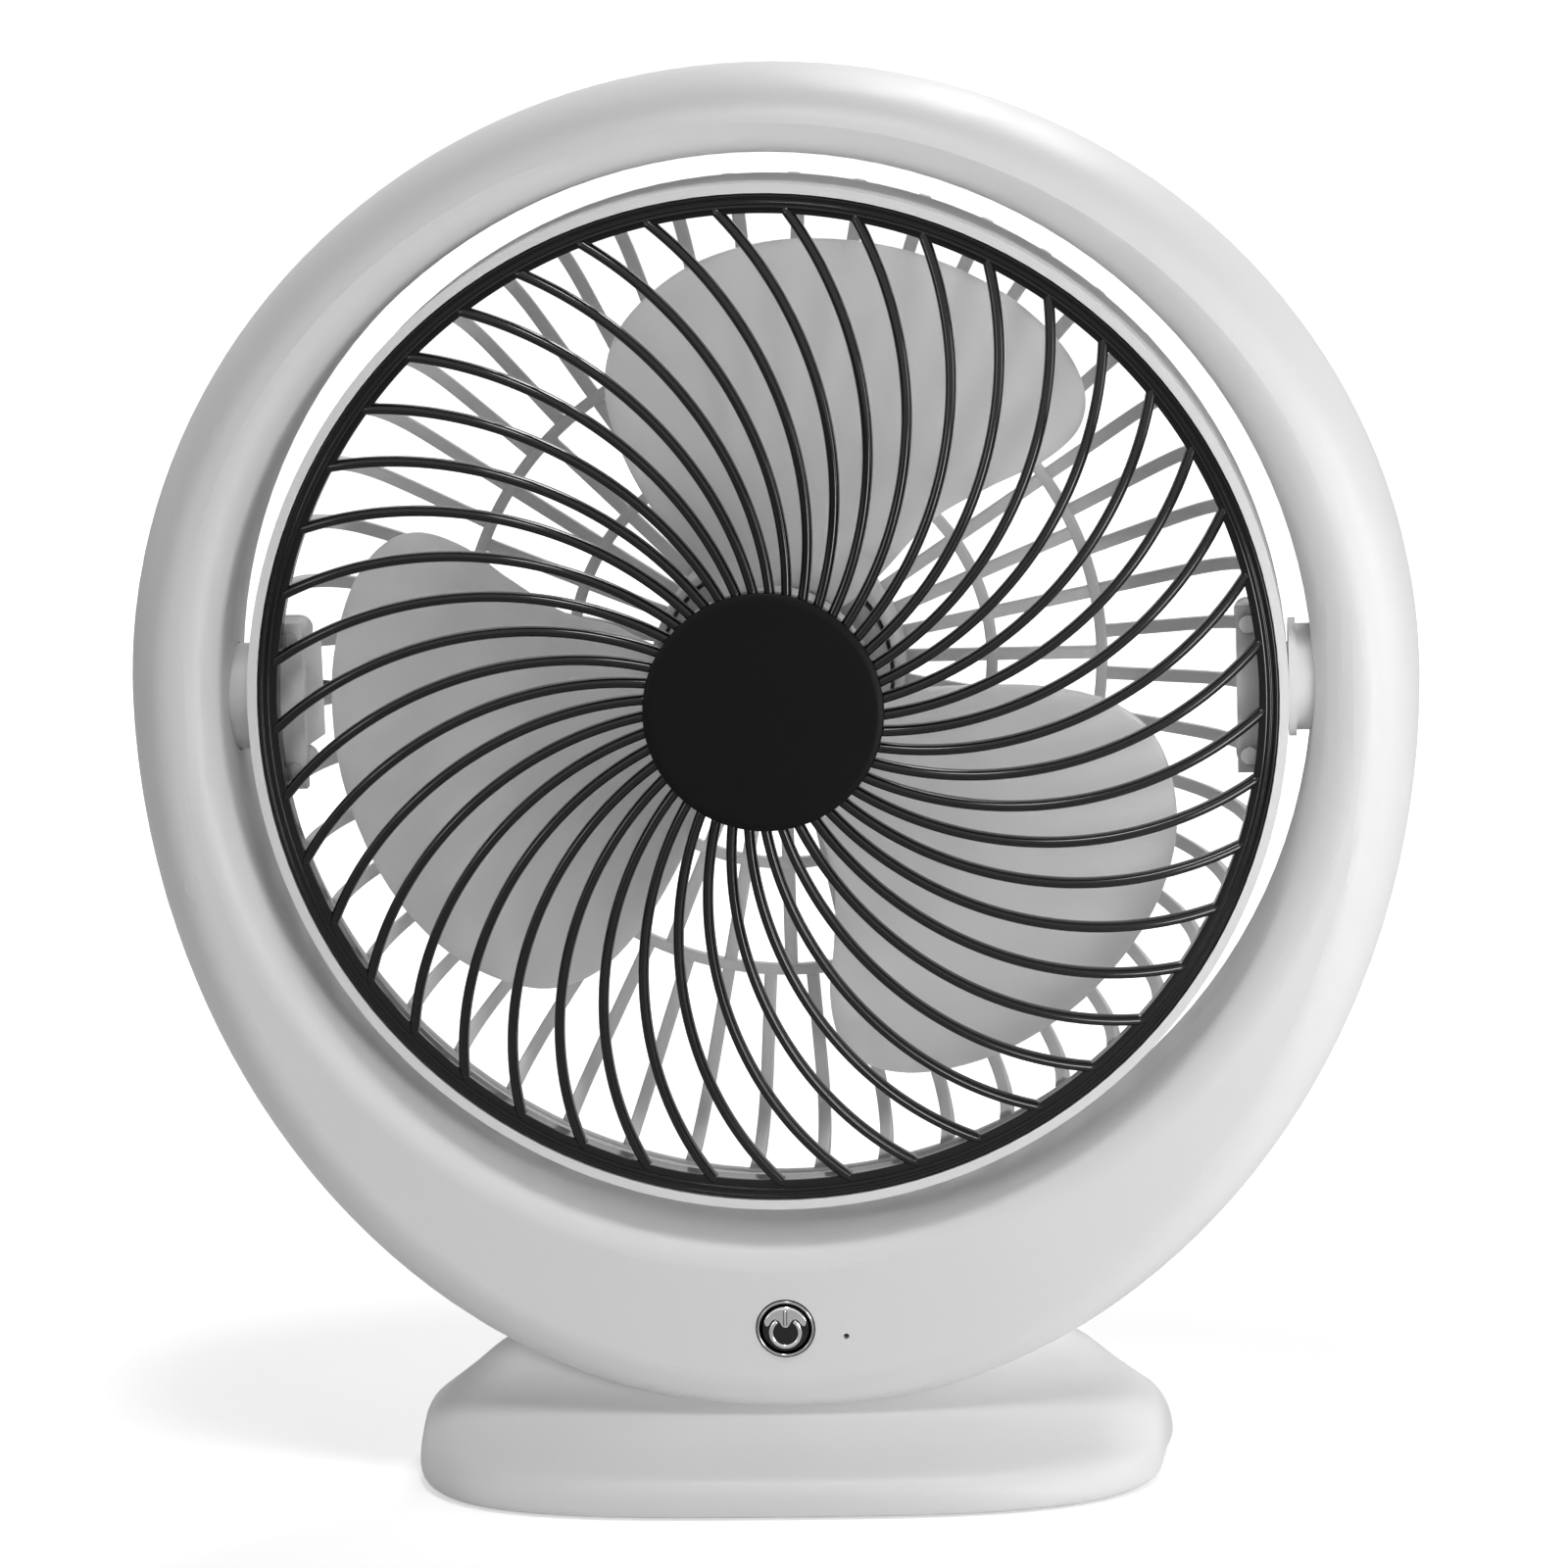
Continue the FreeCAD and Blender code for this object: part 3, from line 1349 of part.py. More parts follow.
def stand_lead():
    """From inside the left pivot, down the hollow ring to the control board."""
    middle_y = -(ring_half_depth - wall) * half
    outer_x = -(collar_end + lead_radius + washer_thickness)
    points = [vec(lead_meet_x, 0, 0), vec(outer_x, 0, 0)]
    for degrees, share in zip(lead_angles, lead_width_shares):
        radius = hole_radius + (egg_radius(degrees) - hole_radius) * share
        points.append(polar(radius, degrees, middle_y))
    points.append(vec(board_centre_x - board_half_width - lead_gap, board_front + board_thickness * half,
                      button_height - pivot_height))
    return at_head(lead_along(points))


def battery_leads():
    """From the inner end of each cell to the control board's back."""
    angle = math.radians(cell_tilt_deg)
    inner = cell_length * half + lead_gap
    corner_x = board_half_width - board_post_inset - lead_radius - part_gap
    corner_z = cell_centre_z - (cell_centre_x - corner_x) * math.tan(angle)
    leads = []
    for side in (1, -1):
        start = vec(side * (cell_centre_x - inner * math.cos(angle)), cell_centre_y,
                    cell_centre_z - inner * math.sin(angle))
        corner = vec(side * corner_x, cell_centre_y, corner_z)
        stop = vec(side * corner_x, board_back + lead_gap, corner_z)
        leads.append(lead_along([start, corner, stop]))
    return Part.makeCompound(leads)


def export(name, shape):
    shape.exportStep(os.path.join("parts", name + ".step"))


def main():
    os.makedirs("parts", exist_ok=True)
    export("front_housing", front_housing())
    export("rear_housing", rear_housing())
    export("base_plate", base_plate())
    export("rubber_feet", rubber_feet())
    export("base_screws", base_screws())
    export("housing_screws", housing_screws())
    export("button_bezel", button_bezel())
    export("power_button", power_button())
    export("tact_switch", tact_switch())
    export("indicator_lamp", indicator_lamp())
    export("control_board", control_board())
    export("board_chips", board_chips())
    export("board_screws", board_screws())
    export("battery_cells", battery_cells())
    export("battery_cradles", battery_cradles())
    export("battery_straps", battery_straps())
    export("charging_port", charging_port())
    export("charging_board", charging_board())
    export("right_pivot_bush", pivot_bush())
    export("left_pivot_bush", mirrored_x(pivot_bush()))
    export("right_friction_washer", friction_washer())
    export("left_friction_washer", mirrored_x(friction_washer()))
    export("right_trunnion", trunnion(True))
    export("left_trunnion", mirrored_x(trunnion(False)))
    export("right_pivot_bracket", pivot_bracket(right_bracket_front_depth, right_bracket_back_depth, True))
    export("left_pivot_bracket", mirrored_x(pivot_bracket(left_bracket_front_depth, left_bracket_back_depth, False)))
    export("bracket_screws", bracket_screws())
    export("head_band", head_band())
    export("front_grille", front_grille())
    export("hub_cap", hub_cap())
    export("rear_grille", rear_grille())
    export("grille_screws", grille_screws())
    export("motor_plate", motor_plate())
    export("motor_can", motor_can())
    export("motor_end_cap", motor_end_cap())
    export("motor_bearings", motor_bearings())
    export("motor_magnets", motor_magnets())
    export("motor_screws", motor_screws())
    export("motor_rotor", motor_rotor())
    export("motor_shaft", motor_shaft())
    export("impeller", impeller())
    export("impeller_nut", impeller_nut())
    export("motor_lead", motor_lead())
    export("stand_lead", stand_lead())
    export("battery_leads", battery_leads())


main()
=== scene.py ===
# %% [markdown]
# # Dressing a rechargeable table fan
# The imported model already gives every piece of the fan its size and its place. This notebook adds what
# moulding, polishing and light give the real one: ribs with rounded fronts, thin screw-shaped blades, a
# bright button, fine-grained plastic and a plain pale studio. Lengths are written in millimetres, as a
# maker would write them, and become metres once, when a mesh is made. The fan blows towards -Y, +Z is up
# and +X runs along the tilt axis.
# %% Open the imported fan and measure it
import math
import json
import bpy
import bmesh
import numpy as np
from mathutils import Matrix, Vector


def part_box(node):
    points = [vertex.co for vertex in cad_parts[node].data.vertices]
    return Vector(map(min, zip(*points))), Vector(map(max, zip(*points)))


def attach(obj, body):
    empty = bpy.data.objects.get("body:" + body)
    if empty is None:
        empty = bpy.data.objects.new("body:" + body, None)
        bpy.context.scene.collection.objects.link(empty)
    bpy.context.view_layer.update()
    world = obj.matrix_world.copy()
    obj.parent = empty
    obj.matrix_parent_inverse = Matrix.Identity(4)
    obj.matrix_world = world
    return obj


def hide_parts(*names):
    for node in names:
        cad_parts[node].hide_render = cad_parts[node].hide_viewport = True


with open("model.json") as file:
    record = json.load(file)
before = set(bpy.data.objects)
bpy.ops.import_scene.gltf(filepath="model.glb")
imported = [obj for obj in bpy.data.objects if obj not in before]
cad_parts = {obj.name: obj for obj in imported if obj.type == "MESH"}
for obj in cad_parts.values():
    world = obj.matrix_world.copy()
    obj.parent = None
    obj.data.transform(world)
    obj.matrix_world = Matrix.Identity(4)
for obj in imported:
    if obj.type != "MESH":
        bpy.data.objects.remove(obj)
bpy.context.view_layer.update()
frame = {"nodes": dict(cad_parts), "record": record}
MM = 0.001

# %% [markdown]
# ## The head's axis
# The round head hangs on two pivots, and the grille, the basket and the impeller are all centred on the
# height of those pivots. That height could be typed in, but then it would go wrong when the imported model
# changes. It is read from the bush of the right pivot instead: the middle of the bush's box.
# %% Height of the head's axis
BUSH_LOW, BUSH_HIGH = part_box("right_pivot_bush")
HEAD_Z = 0.5 * (BUSH_LOW[2] + BUSH_HIGH[2]) / MM
print("the head turns about a line", round(HEAD_Z, 2), "mm above the table")

# %% [markdown]
# ## From a grid of points to a mesh
# A moulded piece is a smooth skin, and a smooth skin is a grid of points joined by four-sided faces. The
# faces could be made one at a time in a loop, but for ribs by the dozen that is slow. Numbering the whole
# grid at once is quick, and one numbering serves every copy of a rib. A side of the grid that comes round
# on itself, such as the way round a tube, is wrapped: its last row is joined to its first.
# %% Faces of a grid, and many grids in one list
def grid_faces(rows, cols, wrap_rows, wrap_cols):
    """Corner numbers of a rows x cols grid's faces: face (i, j) joins i to i + 1 and j to j + 1, where a
    number past the end of a wrapped side starts again at nought."""
    i = np.arange(rows if wrap_rows else rows - 1)[:, None]
    j = np.arange(cols if wrap_cols else cols - 1)[None, :]
    next_i = (i + 1) % rows
    next_j = (j + 1) % cols
    corners = [i * cols + j, i * cols + next_j, next_i * cols + next_j, next_i * cols + j]
    return np.stack(corners, axis=-1).reshape(-1, 4)


def joined(grids):
    """Points in metres and faces of several grids, each given as (points, wrap_rows, wrap_cols). Leading
    axes of the points are copies: a copy's corner numbers are the first one's plus all points before it."""
    points = []
    faces = []
    before = 0
    for grid, wrap_rows, wrap_cols in grids:
        rows, cols = grid.shape[-3:-1]
        copies = grid.reshape(-1, rows * cols, 3)
        shift = before + np.arange(len(copies))[:, None, None] * rows * cols
        faces.append((grid_faces(rows, cols, wrap_rows, wrap_cols)[None] + shift).reshape(-1, 4))
        points.append(copies.reshape(-1, 3))
        before += len(copies) * rows * cols
    return np.concatenate(points) * MM, np.concatenate(faces)


print("a tube of 3 rings with 4 points each has", len(grid_faces(3, 4, False, True)), "faces")

# %% [markdown]
# ## From a mesh to a piece of the fan
# Where a tube is drawn together to a point, or a profile ends where it began, several points lie in one
# place. Left so, the skin has open seams there and the light breaks along them. Sewing joins points that
# coincide, and then every closed skin can be turned to face outwards. The piece is made at the origin and
# rides on one moving body, so that it follows the tilt, the spin or the press of the button.
# %% Sewing a mesh and making a piece
SEAM = 1e-6


def sew(mesh):
    """Join points closer than the seam width, then make the faces of each closed skin point outwards."""
    work = bmesh.new()
    work.from_mesh(mesh)
    bmesh.ops.remove_doubles(work, verts=work.verts, dist=SEAM)
    bmesh.ops.recalc_face_normals(work, faces=work.faces)
    work.to_mesh(mesh)
    work.free()


def piece(name, grids, body, material, replaces=()):
    """One smooth object from the grids, riding on its body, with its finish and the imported
    pieces that it stands in for."""
    points, faces = joined(grids)
    mesh = bpy.data.meshes.new(name)
    mesh.from_pydata(points.tolist(), [], faces.tolist())
    sew(mesh)
    mesh.polygons.foreach_set("use_smooth", np.ones(len(mesh.polygons), bool))
    mesh.validate()
    mesh.materials.append(material)
    made = bpy.data.objects.new(name, mesh)
    bpy.context.scene.collection.objects.link(made)
    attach(made, body)
    if replaces:
        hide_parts(*replaces)
    print(name, "has", len(mesh.vertices), "points and", len(mesh.polygons), "faces")
    return made


print("points closer than", SEAM / MM, "mm are sewn")

# %% [markdown]
# ## How a finish is built
# Moulded plastic is never perfectly even. A fine grain from the mould breaks up the light, and the gloss
# and the tint drift a little over the surface. A photograph could be wrapped round each piece to show
# this, but noise worked out in the material needs no unwrapping and stays sharp at any distance. The
# noise is read from Object coordinates, so that it stays on the piece when the head tilts.
# %% A finish with grain, uneven gloss and uneven tint
DRIFT_LOW, DRIFT_HIGH = 0.3, 0.7
TINT_SHARE = 0.985


def noise(tree, size, detail=2.0):
    """Cloudy values between 0 and 1 whose patches are about size millimetres across."""
    cloud = tree.nodes.new("ShaderNodeTexNoise")
    cloud.inputs["Scale"].default_value = 1 / (size * MM)
    cloud.inputs["Detail"].default_value = detail
    place = tree.nodes.new("ShaderNodeTexCoord")
    tree.links.new(place.outputs["Object"], cloud.inputs["Vector"])
    return cloud.outputs["Fac"]


def drifting_tint(tree, shader, colour, second, tint_size):
    """Colour runs from the second tint to the first as slow noise goes from 0.3 to 0.7."""
    ramp = tree.nodes.new("ShaderNodeValToRGB")
    darker, lighter = ramp.color_ramp.elements
    darker.position = DRIFT_LOW
    darker.color = (*(second or [TINT_SHARE * value for value in colour]), 1)
    lighter.position = DRIFT_HIGH
    lighter.color = (*colour, 1)
    tree.links.new(noise(tree, tint_size), ramp.inputs["Fac"])
    tree.links.new(ramp.outputs["Color"], shader.inputs["Base Color"])


def drifting_gloss(tree, shader, rough, gloss_spread, gloss_size):
    """Roughness rises from rough by gloss_spread as slow noise goes from 0.3 to 0.7."""
    spread = tree.nodes.new("ShaderNodeMapRange")
    spread.inputs["From Min"].default_value = DRIFT_LOW
    spread.inputs["From Max"].default_value = DRIFT_HIGH
    spread.inputs["To Min"].default_value = rough
    spread.inputs["To Max"].default_value = rough + gloss_spread
    tree.links.new(noise(tree, gloss_size, 3.0), spread.inputs["Value"])
    tree.links.new(spread.outputs["Result"], shader.inputs["Roughness"])


def mould_grain(tree, shader, grain, grain_depth):
    """The surface seems to rise and fall by grain_depth millimetres in patches of grain millimetres."""
    bump = tree.nodes.new("ShaderNodeBump")
    bump.inputs["Distance"].default_value = grain_depth * MM
    bump.inputs["Strength"].default_value = 1.0
    tree.links.new(noise(tree, grain, 4.0), bump.inputs["Height"])
    tree.links.new(bump.outputs["Normal"], shader.inputs["Normal"])


def finish_of(name, colour, rough, metal=0.0, grain=0.0, grain_depth=0.0, gloss_spread=0.08,
              gloss_size=18.0, second=None, tint_size=30.0, **sockets):
    """A finish of one colour. Further words set the shader's sockets of the same name directly."""
    made = bpy.data.materials.new(name)
    made.use_nodes = True
    tree = made.node_tree
    shader = tree.nodes["Principled BSDF"]
    shader.inputs["Metallic"].default_value = metal
    for socket, value in sockets.items():
        shader.inputs[socket.replace("_", " ")].default_value = value
    drifting_tint(tree, shader, colour, second, tint_size)
    drifting_gloss(tree, shader, rough, gloss_spread, gloss_size)
    if grain:
        mould_grain(tree, shader, grain, grain_depth)
    return made


print("a tint drifts by", round(100 * (1 - TINT_SHARE), 1), "percent")

# %% [markdown]
# ## White mouldings
# The ring, the base and the head's band are satin white plastic, and the basket behind the blades is a
# touch duller. White paint would be close to 1 in value and would burn out under the lamps, so the whites
# stay near 0.78. The two brackets inside the head are thin and glow a little with the light behind them,
# which a share of light passing under the surface gives. Their white is also painted lighter, at 0.90, to
# stand for more of that light.
# %% White plastics
EVEN = (1.0, 1.0, 1.0)
PLASTIC_IOR = 1.50
white = finish_of("moulded_white", (0.78, 0.78, 0.78), 0.42, grain=0.35, grain_depth=0.006, IOR=PLASTIC_IOR)
basket_white = finish_of("basket_white", (0.74, 0.74, 0.74), 0.46, grain=0.35, grain_depth=0.006,
                         IOR=PLASTIC_IOR)
# Partly painted light: the same white plastic with real subsurface light, but painted lighter to stand for
# light shining through the brackets.
bracket_white_painted_lighter = finish_of("bracket_white_painted_lighter", (0.90, 0.90, 0.90), 0.40, grain=0.35, grain_depth=0.004,
                          IOR=PLASTIC_IOR, Subsurface_Weight=0.7, Subsurface_Scale=0.012,
                          Subsurface_Radius=EVEN)
print("whites:", white.name, basket_white.name, bracket_white_painted_lighter.name)

# %% [markdown]
# ## Black grille and grey blades
# The grille is a semi-gloss black: nearly no colour of its own, with thin bright lines where a rib turns
# to a lamp. The plate on its middle is matt, so it keeps its own finish. The blades are thin pale plastic
# that lets some light through. Plain white plastic would look like card here, so most of their light
# passes just under the surface, equally for red, green and blue, which keeps them neutral.
# %% Grille black, plate black and blade grey
grille_black = finish_of("grille_black", (0.0040, 0.0040, 0.0042), 0.11, grain=0.25, grain_depth=0.0015,
                         gloss_spread=0.05, Specular_IOR_Level=0.40)
cap_black = finish_of("cap_black", (0.0035, 0.0035, 0.0037), 0.42, grain=0.22, grain_depth=0.005,
                      Specular_IOR_Level=0.12)
blade_grey = finish_of("blade_grey", (0.90, 0.90, 0.903), 0.34, grain=0.5, grain_depth=0.003,
                       IOR=PLASTIC_IOR, Subsurface_Weight=0.85, Subsurface_Scale=0.007,
                       Subsurface_Radius=EVEN)
print("grille and blades:", grille_black.name, cap_black.name, blade_grey.name)

# %% [markdown]
# ## Bright chrome, dimmer chrome and painted dark reflection
# The button is plated: its relief is bright, its field looks almost black because it mirrors the dark
# side of the room, and the bezel is between the two. A true mirror would need the room that it mirrors,
# so the dark field is a painted dark reflection, a smooth black, and the bezel's chrome is painted dimmer
# for its half-dark reflection. The bright metal keeps a low roughness. The same black also paints the shade
# in the groove round the button's bar and in the gap at the bezel's foot.
# %% Plated finishes, with painted reflection and painted shade
chrome = finish_of("button_chrome", (0.70, 0.70, 0.71), 0.05, metal=1.0, gloss_spread=0.04, gloss_size=6.0)
# Painted reflection: the same chrome, darker than the relief's, to stand for the half-dark room the bezel
# mirrors.
rim_chrome_painted_dimmer = finish_of("rim_chrome_painted_dimmer", (0.42, 0.42, 0.43), 0.10, metal=1.0, gloss_spread=0.04, gloss_size=6.0)
# Painted dark reflection and painted shade: a smooth black for the dark room mirrored in the button's field,
# and for the shade in its groove and gap.
painted_dark_reflection_and_shade = finish_of("painted_dark_reflection_and_shade", (0.012, 0.012, 0.013), 0.09, gloss_spread=0.03, gloss_size=4.0,
                          Specular_IOR_Level=0.35)
print("plated:", chrome.name, rim_chrome_painted_dimmer.name, painted_dark_reflection_and_shade.name)

# %% [markdown]
# ## Finishes of the works inside
# Screws, motor, board, cells and leads are hardly seen, but each still has the look of its own stuff: the
# motor's bearings are brown sintered bronze, the wound rotor is copper with a coarse grain for its turns,
# the feet are matt rubber. They use the same recipe with other values.
# %% Metals of the works
steel = finish_of("plated_steel", (0.56, 0.56, 0.57), 0.30, metal=1.0, grain=0.15, grain_depth=0.003)
bronze = finish_of("sintered_bronze", (0.50, 0.36, 0.20), 0.45, metal=1.0, grain=0.2, grain_depth=0.02)
copper = finish_of("wound_copper", (0.58, 0.26, 0.12), 0.35, metal=1.0, grain=0.4, grain_depth=0.08)
magnet = finish_of("ferrite", (0.030, 0.030, 0.033), 0.55, grain=0.3, grain_depth=0.02)
print("metals:", steel.name, bronze.name, copper.name, magnet.name)

# %% Plastics and rubbers of the works
dark = finish_of("moulded_black", (0.018, 0.018, 0.019), 0.45, grain=0.3, grain_depth=0.006)
rubber = finish_of("foot_rubber", (0.022, 0.022, 0.022), 0.75, grain=0.3, grain_depth=0.012)
nylon = finish_of("natural_nylon", (0.70, 0.69, 0.63), 0.50, grain=0.4, grain_depth=0.005,
                  Subsurface_Weight=0.1)
lens = finish_of("lamp_lens", (0.60, 0.68, 0.64), 0.12, gloss_spread=0.05, Transmission_Weight=0.5)
board = finish_of("coated_board", (0.012, 0.090, 0.040), 0.35, grain=0.5, grain_depth=0.01,
                  second=(0.010, 0.075, 0.036))
sleeve = finish_of("cell_sleeve", (0.030, 0.110, 0.330), 0.28, grain=1.5, grain_depth=0.02)
jacket = finish_of("lead_jacket", (0.020, 0.020, 0.020), 0.55, grain=0.4, grain_depth=0.01)
print("plastics:", dark.name, rubber.name, nylon.name, lens.name, board.name, sleeve.name, jacket.name)

# %% [markdown]
# ## Dressing the imported pieces
# Every imported piece names the slot of its stuff. One table from slot to finish dresses them all in one
# pass, which is surer than picking pieces by hand. Only the two brackets differ from their slot's white:
# they get the same white, painted lighter for the light through them.
# %% One finish for every imported piece
FINISH_OF_SLOT = {
    "white_plastic": white, "black_grille": grille_black, "blade_plastic": blade_grey, "chrome": chrome,
    "rubber": rubber, "steel": steel, "bronze": bronze, "copper": copper, "magnet": magnet,
    "black_plastic": dark, "nylon": nylon, "lamp": lens, "board": board, "cell_wrap": sleeve,
    "lead_jacket": jacket}
for part in frame["record"]["subparts"]:
    skins = frame["nodes"][part["node"]].data.materials
    skins.clear()
    skins.append(FINISH_OF_SLOT[part["material_slot"]])
for bracket in ("right_pivot_bracket", "left_pivot_bracket"):
    frame["nodes"][bracket].data.materials[0] = bracket_white_painted_lighter
print(len(bpy.data.materials), "finishes dress", len(frame["nodes"]), "packed pieces")

# %% [markdown]
# ## Turned shapes
# The grille's ring, its hub disc, the motor cup and the button are all round. A lathe would cut them from
# a profile, and so does this: a profile of distance from the axis against depth is turned about an axis
# that runs from front to back. Real corners are never sharp, so the profile's corners are eased first
# with a short curve.
# %% Easing a profile and turning it
def eased(corners, radius, steps=5):
    """Polyline with its inner corners rounded: (1-s)^2 P + 2 s (1-s) C + s^2 Q, where P and Q lie one
    radius before and after the corner C, or a little under half way along a shorter side."""
    most = 0.48
    corners = np.asarray(corners, float)
    s = np.linspace(0, 1, steps)[:, None]
    rounded = [corners[:1]]
    for before, corner, after in zip(corners, corners[1:], corners[2:]):
        back, on = before - corner, after - corner
        start = corner + back * min(radius / np.linalg.norm(back), most)
        end = corner + on * min(radius / np.linalg.norm(on), most)
        rounded.append((1 - s) ** 2 * start + 2 * s * (1 - s) * corner + s ** 2 * end)
    return np.concatenate(rounded + [corners[-1:]])


def turned(profile, steps=240, centre=(0.0, HEAD_Z)):
    """Surface of revolution about a front-to-back axis: (r, y) goes to (x + r cos t, y, z + r sin t)."""
    t = np.linspace(0, 2 * np.pi, steps, endpoint=False)[:, None]
    r, y = np.asarray(profile, float).T
    return np.stack([centre[0] + r * np.cos(t), y + 0 * t, centre[1] + r * np.sin(t)], axis=-1)


print("a square of four corners eases to", len(eased([(0, 0), (1, 0), (1, 1), (0, 1)], 0.1)), "points")

# %% [markdown]
# ## Bars carried along a path
# A rib is a bar with a rounded section that follows a curved path. Blender can put a bevel on a curve,
# but then the section's turn along the path is hard to hold. Here the section's deep way is given and
# only made square to the path, so a rib stands straight up from the grille all along its sweep. Both ends
# are drawn together to a point, which closes the bar.
# %% A rounded section, a swept bar and copies about the head
def bar_section(half_width, half_depth, power=3.2, steps=20):
    """Closed section between an ellipse and a box: width |cos t|^(2/p) and depth |sin t|^(2/p), with the
    signs of the cosine and the sine. A power of 2 gives an ellipse, a high one a box."""
    t = np.linspace(0, 2 * np.pi, steps, endpoint=False) + np.pi / steps
    across, deep = np.cos(t), np.sin(t)
    wide = half_width * np.sign(across) * np.abs(across) ** (2 / power)
    tall = half_depth * np.sign(deep) * np.abs(deep) ** (2 / power)
    return np.stack([wide, tall], axis=-1)


def swept(path, deep, section):
    """Section carried along a path: path + wide times the crosswise direction + tall times the deep one,
    where the deep direction loses whatever part of it runs along the path."""
    along = np.gradient(path, axis=0)
    along /= np.linalg.norm(along, axis=1, keepdims=True)
    deep = deep - np.sum(deep * along, axis=1, keepdims=True) * along
    deep /= np.linalg.norm(deep, axis=1, keepdims=True)
    across = np.cross(along, deep)
    skin = path[:, None] + section[None, :, :1] * across[:, None] + section[None, :, 1:] * deep[:, None]
    first = np.broadcast_to(skin[:1].mean(axis=1, keepdims=True), skin[:1].shape)
    last = np.broadcast_to(skin[-1:].mean(axis=1, keepdims=True), skin[:1].shape)
    return np.concatenate([first, skin, last])


def about_head(grid, count, phase=0.0):
    """Copies of a grid turned about the head's axis by phase + k 360 / count degrees, from +X to +Z."""
    t = np.radians(phase + 360 / count * np.arange(count))[:, None, None]
    x, y, z = grid[..., 0], grid[..., 1], grid[..., 2]
    turned_x = x * np.cos(t) - z * np.sin(t)
    turned_z = x * np.sin(t) + z * np.cos(t)
    return np.stack([turned_x, y + 0 * t, turned_z + HEAD_Z], axis=-1)


BACKWARDS = np.array([[0.0, 1.0, 0.0]])
print("four points of an ellipse 2 by 4 mm:", bar_section(1, 2, power=2, steps=4).round(2).tolist())

# %% [markdown]
# ## Ribs of the front grille
# The black grille is one moulding. Its 45 ribs leave the hub disc, sweep round by about a third of a
# right angle and meet the outer ring, and the front of the whole fan of ribs is a shallow dome that is
# steepest near the ring. One rib is made as a bar along that curve and copied 45 times. Sweep and dome
# are both smooth formulas, because a curve drawn through picked points would show bumps in the gloss.
# %% Swept ribs
HUB_R, RING_IN = 24.1, 98.5
RING_FRONT, HUB_FRONT = -19.9, -28.8
RIB_COUNT, RIB_PHASE, RIB_SWEEP, RIB_BEND = 45, 5.36, 32.3, 0.038
RIB_HALF_WIDTH, RIB_HALF_DEPTH, RIB_POWER = 1.08, 1.9, 2.4
RIB_SET_BACK = 1.8
RIB_START_SHARE, RIB_END_SHARE, RIB_STEPS = -0.02, 1.024, 44
DOME_CURVE, DOME_SLOPE, DOME_OVER_RING = 0.84, 0.16, 0.4


def dome(radius):
    """Front of the ribs: hub front + drop (0.84 s^4 + 0.16 s), s being the share of the way out."""
    s = (radius - HUB_R) / (RING_IN - HUB_R)
    drop = RING_FRONT - DOME_OVER_RING - HUB_FRONT
    return HUB_FRONT + drop * (DOME_CURVE * s ** 4 + DOME_SLOPE * s)


def rib_angle(share):
    """Sweep of a rib in radians: it grows with the share of the way out, a little faster at the end."""
    return np.radians(RIB_SWEEP * share * (1 - RIB_BEND + RIB_BEND * share ** 4))


way_out = np.linspace(RIB_START_SHARE, RIB_END_SHARE, RIB_STEPS)
radius = HUB_R + (RING_IN - HUB_R) * way_out
angle = rib_angle(way_out)
middle = np.stack([radius * np.cos(angle), dome(radius) + RIB_SET_BACK, radius * np.sin(angle)], axis=1)
rib_section = bar_section(RIB_HALF_WIDTH, RIB_HALF_DEPTH, RIB_POWER, steps=28)
ribs = about_head(swept(middle, BACKWARDS, rib_section), RIB_COUNT, RIB_PHASE)
print(len(ribs), "ribs, dome", round(float(dome(RING_IN) - dome(HUB_R)), 2), "mm deep")

# %% [markdown]
# ## Ring and hub disc of the grille
# The ring that carries the ribs has two raised lines round its face, which catch two thin circles of
# light. They belong in the profile: lines painted on would stay flat when the light moves. The hub disc
# is a plain disc with a rounded edge. All of it joins the ribs in one piece, as it leaves the mould.
# %% Outer ring, hub disc and the whole grille
RING_BACK = -15.5
RING_LAND, LAND_RISE = 99.9, 0.1
LINE_STARTS, LINE_WIDTH, LINE_RISE = (100.2, 101.6), 0.7, 0.4
HUB_THICK = 3.4
land_y = RING_FRONT - LAND_RISE
line_y = RING_FRONT - LINE_RISE
(line1, line2), wide = LINE_STARTS, LINE_WIDTH
ring_profile = [(RING_IN, RING_BACK), (RING_IN, land_y), (RING_LAND, land_y), (line1, RING_FRONT),
                (line1, line_y), (line1 + wide, line_y), (line1 + wide, RING_FRONT),
                (line2, RING_FRONT), (line2, line_y), (line2 + wide, line_y),
                (line2 + wide, RING_BACK), (RING_IN, RING_BACK)]
ring = turned(eased(ring_profile, radius=0.22), steps=300)
hub_profile = [(0.0, HUB_FRONT), (HUB_R, HUB_FRONT), (HUB_R, HUB_FRONT + HUB_THICK),
               (0.0, HUB_FRONT + HUB_THICK)]
hub_disc = turned(eased(hub_profile, radius=0.6, steps=6), steps=120)
piece("front_grille_moulding", [(ribs, False, True), (ring, True, False), (hub_disc, True, False)],
      "head", grille_black, ["front_grille"])

